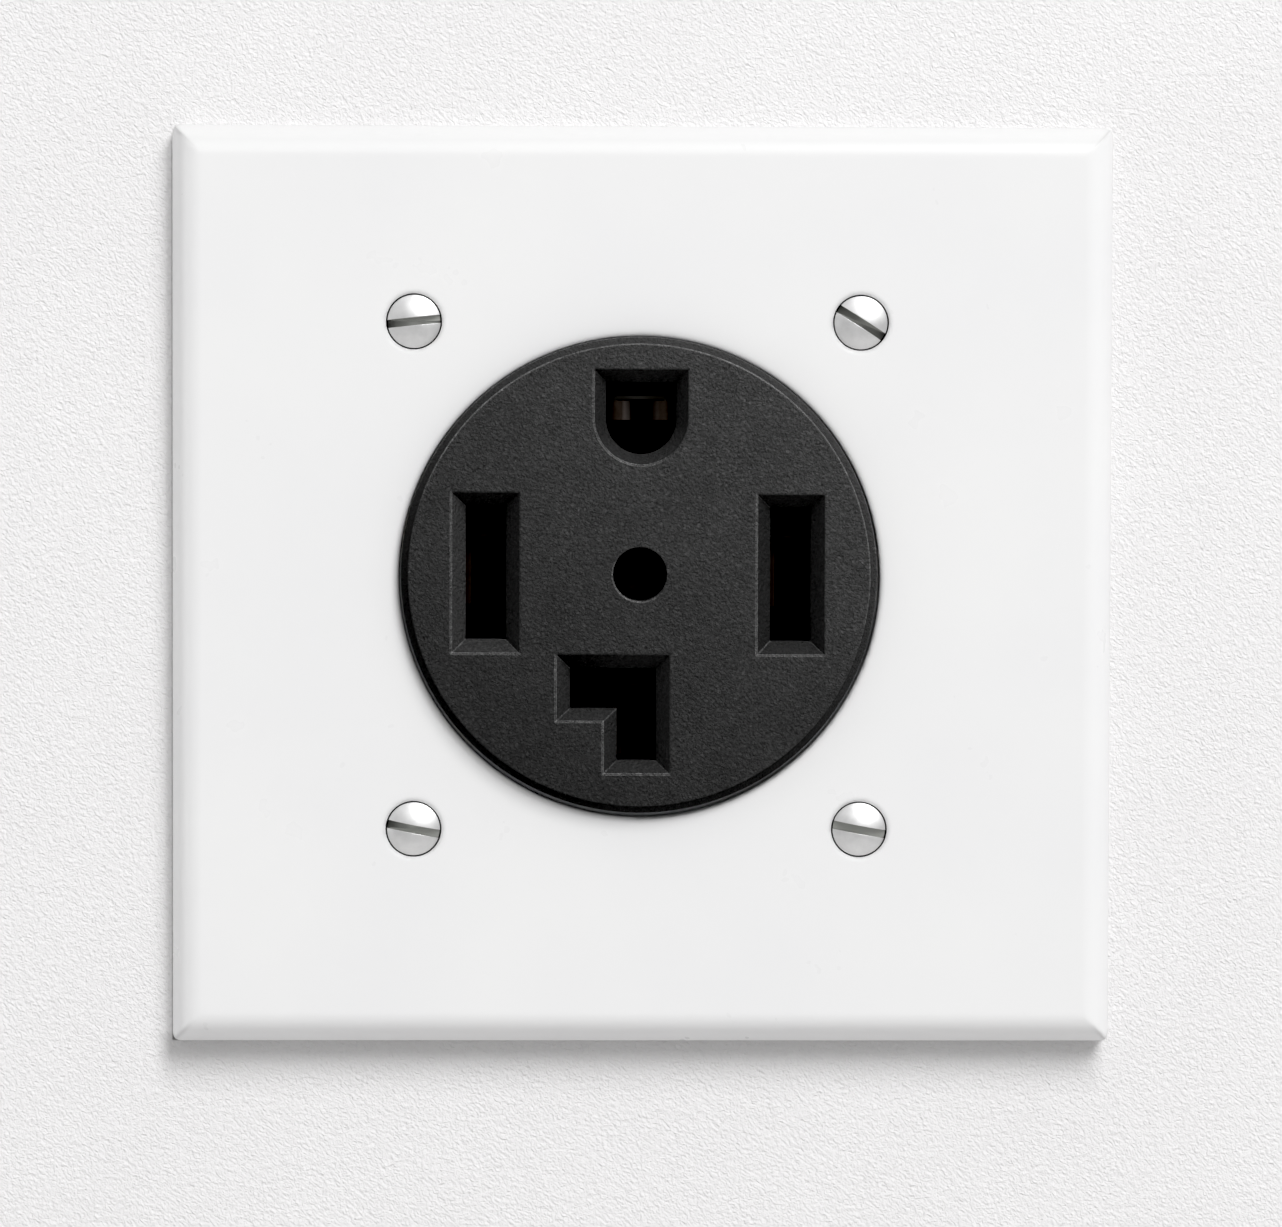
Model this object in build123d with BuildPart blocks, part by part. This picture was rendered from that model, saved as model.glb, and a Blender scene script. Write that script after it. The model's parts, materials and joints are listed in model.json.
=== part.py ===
from build123d import *
import math
import os

# Flush dryer outlet: four-wire receptacle with its two-gang wall plate.
# Frame: X to the right and Z up as the outlet is seen on the wall, the face looks along -Y.
# Origin: on the receptacle's axis, in the plane of the finished wall (the back edge of the plate).
# All sizes in millimetres.

# ---------------------------------------------------------------- wall plate
plate_w = 116.2            # width of the two-gang plate
plate_h = 113.3            # height
plate_t = 5.4              # total thickness
plate_cx, plate_cz = 0.45, -1.35   # plate outline centre from the receptacle's axis
corner_r = 1.1             # corner radius of the outline
side_h = 2.17              # upright part of the edge
slope_deg = 60.0           # steep part of the bevel, from the wall plane
slope_run = 1.0            # its horizontal run
edge_r = 3.0               # roll from the steep part to the face
plate_wall = 2.3           # wall round the hollow back
pocket_d = 3.2             # depth of the hollow back
open_r = 29.65             # round opening for the face
open_cx, open_cz = 0.05, -0.28
ring_w = 1.9               # stiffening ring round the opening, on the back
boss_r = 5.0               # bosses that bear on the strap
plate_hole_r = 2.1
sink_r = 3.45              # countersink at the face
sink_deg = 82.0
sink_land = 0.75           # straight mouth in front of the countersink's cone

# ---------------------------------------------------------------- plate screws (oval head, slotted)
ps_dx, ps_dz = 55.0, 62.5  # spacing
ps_cx, ps_cz = -0.26, -0.17
ps_head_r = 3.28
ps_dome = 1.0
ps_shank_r = 1.72
ps_tip_y = 6.8
ps_slot_w = 1.0
ps_slot_d = 1.25
ps_angles = (5.8, -32.3, -11.1, -10.6)   # slot directions: upper left, upper right, lower left, lower right
ps_points = (
    (ps_cx - ps_dx / 2, ps_cz + ps_dz / 2),
    (ps_cx + ps_dx / 2, ps_cz + ps_dz / 2),
    (ps_cx - ps_dx / 2, ps_cz - ps_dz / 2),
    (ps_cx + ps_dx / 2, ps_cz - ps_dz / 2),
)

# ---------------------------------------------------------------- strap
strap_t = 1.6
strap_w, strap_h = 66.0, 100.0
strap_hole_r = 26.0
strap_tap_r = 1.76         # tapped holes for the plate screws
box_dx, box_dz = 46.04, 83.34   # standard two-gang box pattern
back_gap = 0.02            # strap and body meet just in front of the plate's back edge, so only that edge lies on the wall
seat = Plane.XZ.offset(back_gap)

# ---------------------------------------------------------------- face
face_y = 7.9               # face stands this far in front of the wall
face_r = 28.42             # flat face
disc_r = 29.3              # rim
rim_step = 0.25            # small step from the flat face to the rim band
rim_y = 6.95               # where the rim band meets the side
neck_r = 25.8              # spigot inside the strap's hole
front_wall = 4.2           # front wall behind which the contact chambers open
bevel_d = 2.4              # depth of the lead-in bevels
ease_w, ease_d = 0.16, 0.07   # eased edge between the flat face and each bevel

hot_l = (-18.90, 0.25)     # centres of the two blade slots
hot_r = (18.63, 0.08)
hot_out = (8.60, 20.0)     # mouth of the bevel
hot_in = (4.95, 16.45)     # slot at its bottom

neu_out = ((-10.34, -9.62), (3.90, -9.62), (3.90, -24.56), (-4.53, -24.56), (-4.53, -18.11), (-10.34, -18.11))
neu_in = ((-8.47, -11.54), (2.10, -11.54), (2.10, -22.91), (-2.73, -22.91), (-2.73, -16.50), (-8.47, -16.50))

neu_ease = tuple((x + ease_w * sx, z + ease_w * sz) for (x, z), (sx, sz) in zip(neu_out, ((1, -1), (-1, -1), (-1, 1), (1, 1), (1, 1), (1, 1))))

gnd_cx = 0.20
gnd_out = (5.93, 25.41, 13.39)   # half width, flat top, bottom of the round end
gnd_in = (4.31, 23.69, 14.86)
gnd_ease = (gnd_out[0] - ease_w, gnd_out[1] - ease_w, gnd_out[2] + ease_w)

mid_x, mid_z = 0.06, 0.10  # hole in the middle of the face
mid_r = 3.3
mid_floor_y = 2.0          # its floor, in front of the wall plane

# chambers for the contacts, as centre and size (x, z)
hot_ch = (8.8, 17.4)
neu_ch = (-2.55, -17.3, 12.9, 12.2)
gnd_ch = (0.20, 19.6, 11.6, 12.0)

# ---------------------------------------------------------------- rear body
body_r = 30.0
body_flat = 28.0           # flats at top and bottom
flange_r = 31.4
flange_t = 3.0
body_y = 30.0              # depth behind the wall
floor_y0, floor_y1 = 14.0, 16.5   # floor between contact chambers and terminal bays
asm_points = ((15.5, 16.5), (-15.5, -16.5))

# ---------------------------------------------------------------- contacts and terminals
strip_t = 0.9
leaf_h = 8.0
web_y = 12.5
lip_y = -3.0
pinch_y = 1.5
lug_y0, lug_y1 = 16.5, 27.5
lug_t = 12.0               # across
lug_wall = 1.8
lug_room = 7.9             # chamber, along the clamping direction
lug_room_t = 8.4
lug_top = 3.0              # threaded wall
term_r = 3.0               # clamping screw
term_y = 22.0
rt_hot, rt_neu, rt_gnd = 15.6, 12.2, 14.0   # where each tongue lies, from the axis


def leaf_path(cx):
    """Centre line of a pair of spring leaves and their web, in X and Y."""
    return [
        (cx - 2.35, lip_y),
        (cx - 1.05, pinch_y),
        (cx - 1.95, 7.0),
        (cx - 1.95, web_y),
        (cx + 1.95, web_y),
        (cx + 1.95, 7.0),
        (cx + 1.05, pinch_y),
        (cx + 2.35, lip_y),
    ]


def bevel_profile(lo, hi):
    """Half-outline points of the plate's section between two edges."""
    a = math.radians(slope_deg)
    run, r = slope_run, edge_r
    y1 = -(side_h + run * math.tan(a))
    dx, dy = r * math.sin(a), r * (1 - math.cos(a))
    mx, my = r * math.sin(a) - r * math.sin(a / 2), r * math.cos(a / 2) - r * math.cos(a)
    return {
        "foot0": (lo, 0), "side0": (lo, -side_h), "top0": (lo + run, y1),
        "mid0": (lo + run + mx, y1 - my), "face0": (lo + run + dx, y1 - dy),
        "face1": (hi - run - dx, y1 - dy), "mid1": (hi - run - mx, y1 - my),
        "top1": (hi - run, y1), "side1": (hi, -side_h), "foot1": (hi, 0),
    }


# ================================================================ wall plate
x_lo, x_hi = plate_cx - plate_w / 2, plate_cx + plate_w / 2
z_lo, z_hi = plate_cz - plate_h / 2, plate_cz + plate_h / 2
across = bevel_profile(x_lo, x_hi)
upright = bevel_profile(z_lo, z_hi)
face_level = -across["face0"][1]

with BuildPart() as wall_plate:
    with BuildSketch(Plane.XZ) as plate_outline:
        with Locations((plate_cx, plate_cz)):
            RectangleRounded(plate_w, plate_h, corner_r)
    extrude(amount=face_level)
    # bevel along the left and right edges
    with BuildSketch(Plane.XY.offset(z_lo - 1)) as across_section:
        with BuildLine():
            Polyline(across["foot0"], across["side0"], across["top0"])
            ThreePointArc(across["top0"], across["mid0"], across["face0"])
            Line(across["face0"], across["face1"])
            ThreePointArc(across["face1"], across["mid1"], across["top1"])
            Polyline(across["top1"], across["side1"], across["foot1"], across["foot0"])
        make_face()
    extrude(amount=plate_h + 2, mode=Mode.INTERSECT)
    # bevel along the top and bottom edges
    with BuildSketch(Plane.YZ.offset(x_lo - 1)) as upright_section:
        u = {k: (p[1], p[0]) for k, p in upright.items()}
        with BuildLine():
            Polyline(u["foot0"], u["side0"], u["top0"])
            ThreePointArc(u["top0"], u["mid0"], u["face0"])
            Line(u["face0"], u["face1"])
            ThreePointArc(u["face1"], u["mid1"], u["top1"])
            Polyline(u["top1"], u["side1"], u["foot1"], u["foot0"])
        make_face()
    extrude(amount=plate_w + 2, mode=Mode.INTERSECT)
    # hollow back
    with BuildSketch(Plane.XZ) as pocket:
        with Locations((plate_cx, plate_cz)):
            RectangleRounded(plate_w - 2 * plate_wall, plate_h - 2 * plate_wall, 2.0)
    extrude(amount=pocket_d, mode=Mode.SUBTRACT)
    # stiffening ring round the opening
    with BuildSketch(Plane.XZ.offset(2.2)) as ring:
        with Locations((open_cx, open_cz)):
            Circle(open_r + ring_w)
    extrude(amount=pocket_d - 2.0)
    # bosses that bear on the strap
    with BuildSketch(Plane.XZ.offset(strap_t)) as bosses:
        with Locations(*ps_points):
            Circle(boss_r)
    extrude(amount=pocket_d - strap_t + 0.2)
    # upright and level ribs clear of the strap
    with BuildSketch(Plane.XZ.offset(1.2)) as ribs:
        with Locations((-44.5, plate_cz), (44.5, plate_cz)):
            Rectangle(1.2, plate_h - 2 * plate_wall + 1.0)
    extrude(amount=pocket_d - 1.0)
    # opening and screw holes
    with BuildSketch(Plane.XZ) as opening:
        with Locations((open_cx, open_cz)):
            Circle(open_r)
    extrude(amount=plate_t + 1, mode=Mode.SUBTRACT)
    with Locations(Plane.XZ.offset(face_level)):
        with Locations(*ps_points):
            Hole(radius=sink_r, depth=sink_land)
    with Locations(Plane.XZ.offset(face_level - sink_land)):
        with Locations(*ps_points):
            CounterSinkHole(radius=plate_hole_r, counter_sink_radius=sink_r, depth=plate_t, counter_sink_angle=sink_deg)
    # eased front edge of the opening
    rim = wall_plate.edges().filter_by(GeomType.CIRCLE).filter_by(lambda e: abs(e.radius - open_r) < 0.01 and e.center().Y < -face_level + 0.01)
    fillet(rim, radius=0.3)
wall_plate.part.label = "wall_plate"

# ================================================================ plate screws
sink_tan = math.tan(math.radians(sink_deg / 2))
ps_seat_y = -face_level + sink_land + (sink_r - ps_head_r) / sink_tan   # where the head's cone starts
ps_edge_y = -face_level + 0.08                                  # top of the upright land round the head
ps_top_y = ps_edge_y - ps_dome
ps_ball = (ps_head_r**2 + ps_dome**2) / (2 * ps_dome)
ps_half = math.asin(ps_head_r / ps_ball) / 2
ps_cone_y = ps_seat_y + (ps_head_r - ps_shank_r) / sink_tan

with BuildPart() as plate_screws:
    for (sx, sz), angle in zip(ps_points, ps_angles):
        with BuildSketch(Plane(origin=(sx, 0, sz), x_dir=(1, 0, 0), z_dir=(0, 0, 1))) as screw_half:
            with BuildLine():
                ThreePointArc(
                    (0, ps_top_y),
                    (ps_ball * math.sin(ps_half), ps_top_y + ps_ball - ps_ball * math.cos(ps_half)),
                    (ps_head_r, ps_edge_y),
                )
                Polyline(
                    (ps_head_r, ps_edge_y), (ps_head_r, ps_seat_y), (ps_shank_r, ps_cone_y),
                    (ps_shank_r, ps_tip_y - 0.6), (ps_shank_r - 0.6, ps_tip_y), (0, ps_tip_y), (0, ps_top_y),
                )
            make_face()
        revolve(axis=Axis((sx, 0, sz), (0, 1, 0)))
        with BuildSketch(Plane(origin=(sx, ps_top_y - 0.5, sz), x_dir=(1, 0, 0), z_dir=(0, -1, 0))) as slot:
            Rectangle(2 * ps_head_r + 1, ps_slot_w, rotation=angle)
        extrude(amount=-(0.5 + ps_slot_d), mode=Mode.SUBTRACT)
plate_screws.part.label = "plate_screws"

# ================================================================ face
with BuildPart() as face_cover:
    with BuildSketch(Plane.XY) as face_half:
        with BuildLine():
            Polyline(
                (0, -face_y), (face_r, -face_y), (face_r, -face_y + rim_step), (disc_r, -rim_y),
                (disc_r, -strap_t), (neck_r, -strap_t), (neck_r, -back_gap), (0, -back_gap), (0, -face_y),
            )
        make_face()
    revolve(axis=Axis.Y)
    # eased edges of the flat face and of the rim
    fillet(face_cover.edges().filter_by(GeomType.CIRCLE).filter_by(lambda e: abs(e.radius - face_r) < 0.01 and e.center().Y < -face_y + 0.01), radius=0.12)
    fillet(face_cover.edges().filter_by(GeomType.CIRCLE).filter_by(lambda e: abs(e.radius - disc_r) < 0.01 and abs(e.center().Y + rim_y) < 0.01), radius=0.3)
    # bevelled mouths of the two blade slots: eased edge, bevel, straight slot
    for cx, cz in (hot_l, hot_r):
        with BuildSketch(Plane.XZ.offset(face_y)) as mouth:
            with Locations((cx, cz)):
                Rectangle(*hot_out)
        with BuildSketch(Plane.XZ.offset(face_y - ease_d)) as eased:
            with Locations((cx, cz)):
                Rectangle(hot_out[0] - 2 * ease_w, hot_out[1] - 2 * ease_w)
        loft(mode=Mode.SUBTRACT)
        with BuildSketch(Plane.XZ.offset(face_y - ease_d)) as eased:
            with Locations((cx, cz)):
                Rectangle(hot_out[0] - 2 * ease_w, hot_out[1] - 2 * ease_w)
        with BuildSketch(Plane.XZ.offset(face_y - bevel_d)) as throat:
            with Locations((cx, cz)):
                Rectangle(*hot_in)
        loft(mode=Mode.SUBTRACT)
        with BuildSketch(Plane.XZ.offset(face_y - front_wall)) as slot:
            with Locations((cx, cz)):
                Rectangle(*hot_in)
        extrude(amount=front_wall - bevel_d, mode=Mode.SUBTRACT)
    # L-shaped slot
    with BuildSketch(Plane.XZ.offset(face_y)) as mouth:
        with BuildLine():
            Polyline(*neu_out, close=True)
        make_face()
    with BuildSketch(Plane.XZ.offset(face_y - ease_d)) as eased:
        with BuildLine():
            Polyline(*neu_ease, close=True)
        make_face()
    loft(ruled=True, mode=Mode.SUBTRACT)
    with BuildSketch(Plane.XZ.offset(face_y - ease_d)) as eased:
        with BuildLine():
            Polyline(*neu_ease, close=True)
        make_face()
    with BuildSketch(Plane.XZ.offset(face_y - bevel_d)) as throat:
        with BuildLine():
            Polyline(*neu_in, close=True)
        make_face()
    loft(ruled=True, mode=Mode.SUBTRACT)
    with BuildSketch(Plane.XZ.offset(face_y - front_wall)) as slot:
        with BuildLine():
            Polyline(*neu_in, close=True)
        make_face()
    extrude(amount=front_wall - bevel_d, mode=Mode.SUBTRACT)
    # U-shaped ground slot: flat top, round bottom
    for y_front, front, y_back, back in (
        (face_y, gnd_out, face_y - ease_d, gnd_ease),
        (face_y - ease_d, gnd_ease, face_y - bevel_d, gnd_in),
    ):
        for y_level, (w, top, low) in ((y_front, front), (y_back, back)):
            with BuildSketch(Plane.XZ.offset(y_level)) as u_shape:
                with BuildLine():
                    Polyline((gnd_cx - w, low + w), (gnd_cx - w, top), (gnd_cx + w, top), (gnd_cx + w, low + w))
                    ThreePointArc((gnd_cx + w, low + w), (gnd_cx, low), (gnd_cx - w, low + w))
                make_face()
        loft(ruled=True, mode=Mode.SUBTRACT)
    with BuildSketch(Plane.XZ.offset(face_y - front_wall)) as slot:
        w, top, low = gnd_in
        with BuildLine():
            Polyline((gnd_cx - w, low + w), (gnd_cx - w, top), (gnd_cx + w, top), (gnd_cx + w, low + w))
            ThreePointArc((gnd_cx + w, low + w), (gnd_cx, low), (gnd_cx - w, low + w))
        make_face()
    extrude(amount=front_wall - bevel_d, mode=Mode.SUBTRACT)
    # hole in the middle, with a floor that the screw head bears on
    with BuildSketch(Plane.XZ.offset(mid_floor_y)) as mid_hole:
        with Locations((mid_x, mid_z)):
            Circle(mid_r)
    extrude(amount=face_y, mode=Mode.SUBTRACT)
    with BuildSketch(Plane.XZ.offset(-1)) as mid_bore:
        with Locations((mid_x, mid_z)):
            Circle(2.15)
    extrude(amount=mid_floor_y + 2, mode=Mode.SUBTRACT)
    # contact chambers, open to the back
    with BuildSketch(Plane.XZ) as chambers:
        with Locations(hot_l, hot_r):
            Rectangle(*hot_ch)
        with Locations(neu_ch[:2]):
            Rectangle(*neu_ch[2:])
        with Locations(gnd_ch[:2]):
            Rectangle(*gnd_ch[2:])
    extrude(amount=face_y - front_wall, mode=Mode.SUBTRACT)
    # blind holes for the two assembly screws
    with BuildSketch(Plane.XZ) as pilot:
        with Locations(*asm_points):
            Circle(1.55)
    extrude(amount=5.0, mode=Mode.SUBTRACT)
    # relief pockets in the two thick quarters
    with BuildSketch(Plane.XZ) as relief:
        with Locations((-15.5, 15.5), (15.5, -15.5)):
            Circle(4.6)
    extrude(amount=4.6, mode=Mode.SUBTRACT)
    # eased edge of the middle hole
    mid_edge = face_cover.edges().filter_by(GeomType.CIRCLE).filter_by(lambda e: abs(e.radius - mid_r) < 0.01 and e.center().Y < -face_y + 0.01)
    fillet(mid_edge, radius=0.15)
face_cover.part.label = "face_cover"

# ================================================================ strap
with BuildPart() as mounting_strap:
    with BuildSketch(seat) as strap_outline:
        RectangleRounded(strap_w, strap_h, 6.0)
        Circle(strap_hole_r, mode=Mode.SUBTRACT)
        with Locations(*ps_points):
            Circle(strap_tap_r, mode=Mode.SUBTRACT)
        with GridLocations(box_dx, box_dz, 2, 2):
            SlotOverall(7.6, 4.4, mode=Mode.SUBTRACT)
        with Locations((gnd_cx, 34.5)):
            Circle(1.55, mode=Mode.SUBTRACT)
        # open notches at both ends
        with Locations((0, strap_h / 2), (0, -strap_h / 2)):
            SlotOverall(18.0, 9.0, mode=Mode.SUBTRACT)
        with Locations((strap_w / 2, 0), (-strap_w / 2, 0)):
            Rectangle(4.0, 16.0, mode=Mode.SUBTRACT)
    extrude(amount=strap_t - back_gap)
    notch_edges = mounting_strap.edges().filter_by(Axis.Y).filter_by(lambda e: abs(abs(e.center().Z) - 8.0) < 0.05)
    fillet(notch_edges, radius=0.8)
mounting_strap.part.label = "mounting_strap"

# ================================================================ rear body
with BuildPart() as rear_body:
    with BuildSketch(seat) as flange:
        Circle(flange_r)
        Rectangle(2 * flange_r + 2, 2 * (body_flat + 1.2), mode=Mode.INTERSECT)
    extrude(amount=-(flange_t + back_gap))
    with BuildSketch(seat) as barrel:
        Circle(body_r)
        Rectangle(2 * body_r + 2, 2 * body_flat, mode=Mode.INTERSECT)
    extrude(amount=-(body_y + back_gap))
    back_edges = rear_body.faces().filter_by(Axis.Y).sort_by(Axis.Y)[-1].edges()
    fillet(back_edges, radius=1.2)
    # contact chambers, open to the front
    with BuildSketch(seat) as chambers:
        with Locations(hot_l, hot_r):
            Rectangle(*hot_ch)
        with Locations(neu_ch[:2]):
            Rectangle(*neu_ch[2:])
        with Locations(gnd_ch[:2]):
            Rectangle(*gnd_ch[2:])
    extrude(amount=-(floor_y0 + back_gap), mode=Mode.SUBTRACT)
    # terminal bays, open to the back
    bay = lug_wall + lug_room + lug_top + 0.5
    mid_off = (lug_room + lug_top - lug_wall) / 2
    with BuildSketch(Plane.XZ.offset(-floor_y1)) as bays:
        with Locations((-(rt_hot + mid_off), hot_l[1]), (rt_hot + mid_off, hot_r[1])):
            Rectangle(bay, lug_t + 0.5)
        with Locations((-0.30, -(rt_neu + mid_off)), (gnd_cx, rt_gnd + mid_off)):
            Rectangle(lug_t + 0.5, bay)
    extrude(amount=-(body_y - floor_y1 + 1), mode=Mode.SUBTRACT)
    # slots in the floor for the contact tongues
    with BuildSketch(Plane.XZ.offset(-floor_y0 + 0.5)) as tongues:
        with Locations((-(rt_hot + strip_t / 2), hot_l[1]), (rt_hot + strip_t / 2, hot_r[1])):
            Rectangle(strip_t + 0.3, leaf_h + 0.4)
        with Locations((-0.30, -(rt_neu + strip_t / 2)), (gnd_cx, rt_gnd + strip_t / 2)):
            Rectangle(7.2, strip_t + 0.3)      # grips the tongue's two edges
    extrude(amount=-(floor_y1 - floor_y0 + 1), mode=Mode.SUBTRACT)
    # screwdriver holes through the sides to the clamping screws
    with BuildSketch(Plane(origin=(0, 0, 0), x_dir=(0, 1, 0), z_dir=(-1, 0, 0)).offset(rt_hot + 8)) as left_hole:
        with Locations((term_y, -hot_l[1])):
            Circle(3.9)
    extrude(amount=20, mode=Mode.SUBTRACT)
    with BuildSketch(Plane.YZ.offset(rt_hot + 8)) as right_hole:
        with Locations((term_y, hot_r[1])):
            Circle(3.9)
    extrude(amount=20, mode=Mode.SUBTRACT)
    with BuildSketch(Plane.XY.offset(rt_gnd + 8)) as top_hole:
        with Locations((gnd_cx, term_y)):
            Circle(3.9)
    extrude(amount=20, mode=Mode.SUBTRACT)
    with BuildSketch(Plane.XY.offset(-rt_neu - 8)) as low_hole:
        with Locations((-0.30, term_y)):
            Circle(3.9)
    extrude(amount=-20, mode=Mode.SUBTRACT)
    # bore and nut seat of the centre screw
    with BuildSketch(Plane.XZ.offset(1)) as centre_bore:
        with Locations((mid_x, mid_z)):
            Circle(2.15)
    extrude(amount=-(body_y + 2), mode=Mode.SUBTRACT)
    with BuildSketch(Plane.XZ.offset(-26.0)) as nut_seat:
        with Locations((mid_x, mid_z)):
            RegularPolygon(radius=5.15, side_count=6)
    extrude(amount=-6, mode=Mode.SUBTRACT)
    # bores and head seats of the assembly screws
    with BuildSketch(Plane.XZ.offset(1)) as asm_bores:
        with Locations(*asm_points):
            Circle(1.8)
    extrude(amount=-(body_y + 2), mode=Mode.SUBTRACT)
    with BuildSketch(Plane.XZ.offset(-27.0)) as asm_seats:
        with Locations(*asm_points):
            Circle(3.6)
    extrude(amount=-5, mode=Mode.SUBTRACT)
    # groove under the strap for the ground bridge
    with BuildSketch(seat) as bridge_groove:
        with Locations((gnd_cx, 29.0)):
            Rectangle(6.6, 10.0)
    extrude(amount=-(1.2 + back_gap), mode=Mode.SUBTRACT)
    # round relief pockets in the two quarters without assembly screws
    with BuildSketch(Plane.XZ.offset(-body_y)) as relief:
        with Locations((-15.5, 16.5), (15.5, -16.5)):
            Circle(4.2)
    extrude(amount=12, mode=Mode.SUBTRACT)
rear_body.part.label = "rear_body"

# ================================================================ contacts
with BuildPart() as hot_contact_left:
    cx, cz = hot_l
    with BuildSketch(Plane.XY.offset(cz - leaf_h / 2)) as strip:
        with BuildLine() as line:
            Polyline(*leaf_path(cx))
        trace(line_width=strip_t)
        # tongue into the lug, from the inner end of the web
        with Locations(((-(rt_hot) + cx + 1.95) / 2, web_y)):
            Rectangle(-(rt_hot) - (cx + 1.95), strip_t)
        with Locations((-(rt_hot + strip_t / 2), (web_y - strip_t / 2 + lug_y1) / 2)):
            Rectangle(strip_t, lug_y1 - web_y + strip_t / 2)
    extrude(amount=leaf_h)
hot_contact_left.part.label = "hot_contact_left"

with BuildPart() as hot_contact_right:
    cx, cz = hot_r
    with BuildSketch(Plane.XY.offset(cz - leaf_h / 2)) as strip:
        with BuildLine() as line:
            Polyline(*leaf_path(cx))
        trace(line_width=strip_t)
        with Locations(((rt_hot + cx - 1.95) / 2, web_y)):
            Rectangle((cx - 1.95) - rt_hot, strip_t)
        with Locations((rt_hot + strip_t / 2, (web_y - strip_t / 2 + lug_y1) / 2)):
            Rectangle(strip_t, lug_y1 - web_y + strip_t / 2)
    extrude(amount=leaf_h)
hot_contact_right.part.label = "hot_contact_right"

neu_cx = -0.30
neu_z0, neu_z1 = -22.3, -14.3      # leaves grip the upright leg of the L blade
with BuildPart() as neutral_contact:
    with BuildSketch(Plane.XY.offset(neu_z0)) as strip:
        with BuildLine() as line:
            Polyline(*leaf_path(neu_cx))
        trace(line_width=strip_t)
    extrude(amount=neu_z1 - neu_z0)
    with BuildSketch(Plane.XZ.offset(-(web_y + strip_t / 2))) as web:
        with Locations((neu_cx, (neu_z0 - rt_neu) / 2)):
            Rectangle(7.2, -rt_neu - neu_z0)
    extrude(amount=strip_t)
    with BuildSketch(Plane.XZ.offset(-lug_y1)) as tongue:
        with Locations((neu_cx, -(rt_neu + strip_t / 2))):
            Rectangle(7.2, strip_t)
    extrude(amount=lug_y1 - web_y)
neutral_contact.part.label = "neutral_contact"

gnd_z0, gnd_z1 = 15.7, 21.45
gnd_lip_z0 = 19.05
with BuildPart() as ground_contact:
    # leaves behind the front lips
    with BuildSketch(Plane.XY.offset(gnd_z0)) as strip:
        with BuildLine() as line:
            Polyline(
                (gnd_cx - 1.75, pinch_y), (gnd_cx - 2.55, 7.0), (gnd_cx - 2.55, web_y),
                (gnd_cx + 2.55, web_y), (gnd_cx + 2.55, 7.0), (gnd_cx + 1.75, pinch_y),
            )
        trace(line_width=strip_t)
    extrude(amount=gnd_z1 - gnd_z0)
    # rolled front lips, only in the upper half
    with BuildSketch(Plane.XY.offset(gnd_lip_z0)) as lips:
        with BuildLine() as left_lip:
            Polyline((gnd_cx - 1.75, pinch_y + 0.3), (gnd_cx - 1.75, -0.6))
            ThreePointArc((gnd_cx - 1.75, -0.6), (gnd_cx - 2.75, -2.6), (gnd_cx - 4.25, -1.4))
        trace(line_width=strip_t)
        with BuildLine() as right_lip:
            Polyline((gnd_cx + 1.75, pinch_y + 0.3), (gnd_cx + 1.75, -0.6))
            ThreePointArc((gnd_cx + 1.75, -0.6), (gnd_cx + 2.75, -2.6), (gnd_cx + 4.25, -1.4))
        trace(line_width=strip_t)
    extrude(amount=gnd_z1 - gnd_lip_z0)
    # web that carries the tongue below and meets the bridge above
    with BuildSketch(Plane.XZ.offset(-(web_y + strip_t / 2))) as web:
        with Locations((gnd_cx, (rt_gnd + 25.2) / 2)):
            Rectangle(7.2, 25.2 - rt_gnd)
    extrude(amount=strip_t)
    with BuildSketch(Plane.XZ.offset(-lug_y1)) as tongue:
        with Locations((gnd_cx, rt_gnd + strip_t / 2)):
            Rectangle(7.2, strip_t)
    extrude(amount=lug_y1 - web_y)
ground_contact.part.label = "ground_contact"

# ================================================================ spring clips that back the leaves
clip_y0, clip_y1 = 2.0, 5.0
clip_in, clip_t = 2.2, 0.5

with BuildPart() as hot_spring_left:
    cx, cz = hot_l
    with BuildSketch(Plane.XZ.offset(-clip_y1)) as clip:
        with Locations((cx, cz + 0.35)):
            Rectangle(2 * (clip_in + clip_t), leaf_h + 0.7)
        with Locations((cx, cz + 0.05 - 0.2)):
            Rectangle(2 * clip_in, leaf_h + 0.7, mode=Mode.SUBTRACT)
    extrude(amount=clip_y1 - clip_y0)
    fillet(hot_spring_left.edges().filter_by(Axis.Y).group_by(Axis.Z)[-1], radius=0.6)
hot_spring_left.part.label = "hot_spring_left"

with BuildPart() as hot_spring_right:
    cx, cz = hot_r
    with BuildSketch(Plane.XZ.offset(-clip_y1)) as clip:
        with Locations((cx, cz + 0.35)):
            Rectangle(2 * (clip_in + clip_t), leaf_h + 0.7)
        with Locations((cx, cz + 0.05 - 0.2)):
            Rectangle(2 * clip_in, leaf_h + 0.7, mode=Mode.SUBTRACT)
    extrude(amount=clip_y1 - clip_y0)
    fillet(hot_spring_right.edges().filter_by(Axis.Y).group_by(Axis.Z)[-1], radius=0.6)
hot_spring_right.part.label = "hot_spring_right"

with BuildPart() as neutral_spring:
    nz = (neu_z0 + neu_z1) / 2
    with BuildSketch(Plane.XZ.offset(-clip_y1)) as clip:
        with Locations((neu_cx, nz + 0.35)):
            Rectangle(2 * (clip_in + clip_t), leaf_h + 0.7)
        with Locations((neu_cx, nz + 0.05 - 0.2)):
            Rectangle(2 * clip_in, leaf_h + 0.7, mode=Mode.SUBTRACT)
    extrude(amount=clip_y1 - clip_y0)
    fillet(neutral_spring.edges().filter_by(Axis.Y).group_by(Axis.Z)[-1], radius=0.6)
neutral_spring.part.label = "neutral_spring"

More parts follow.
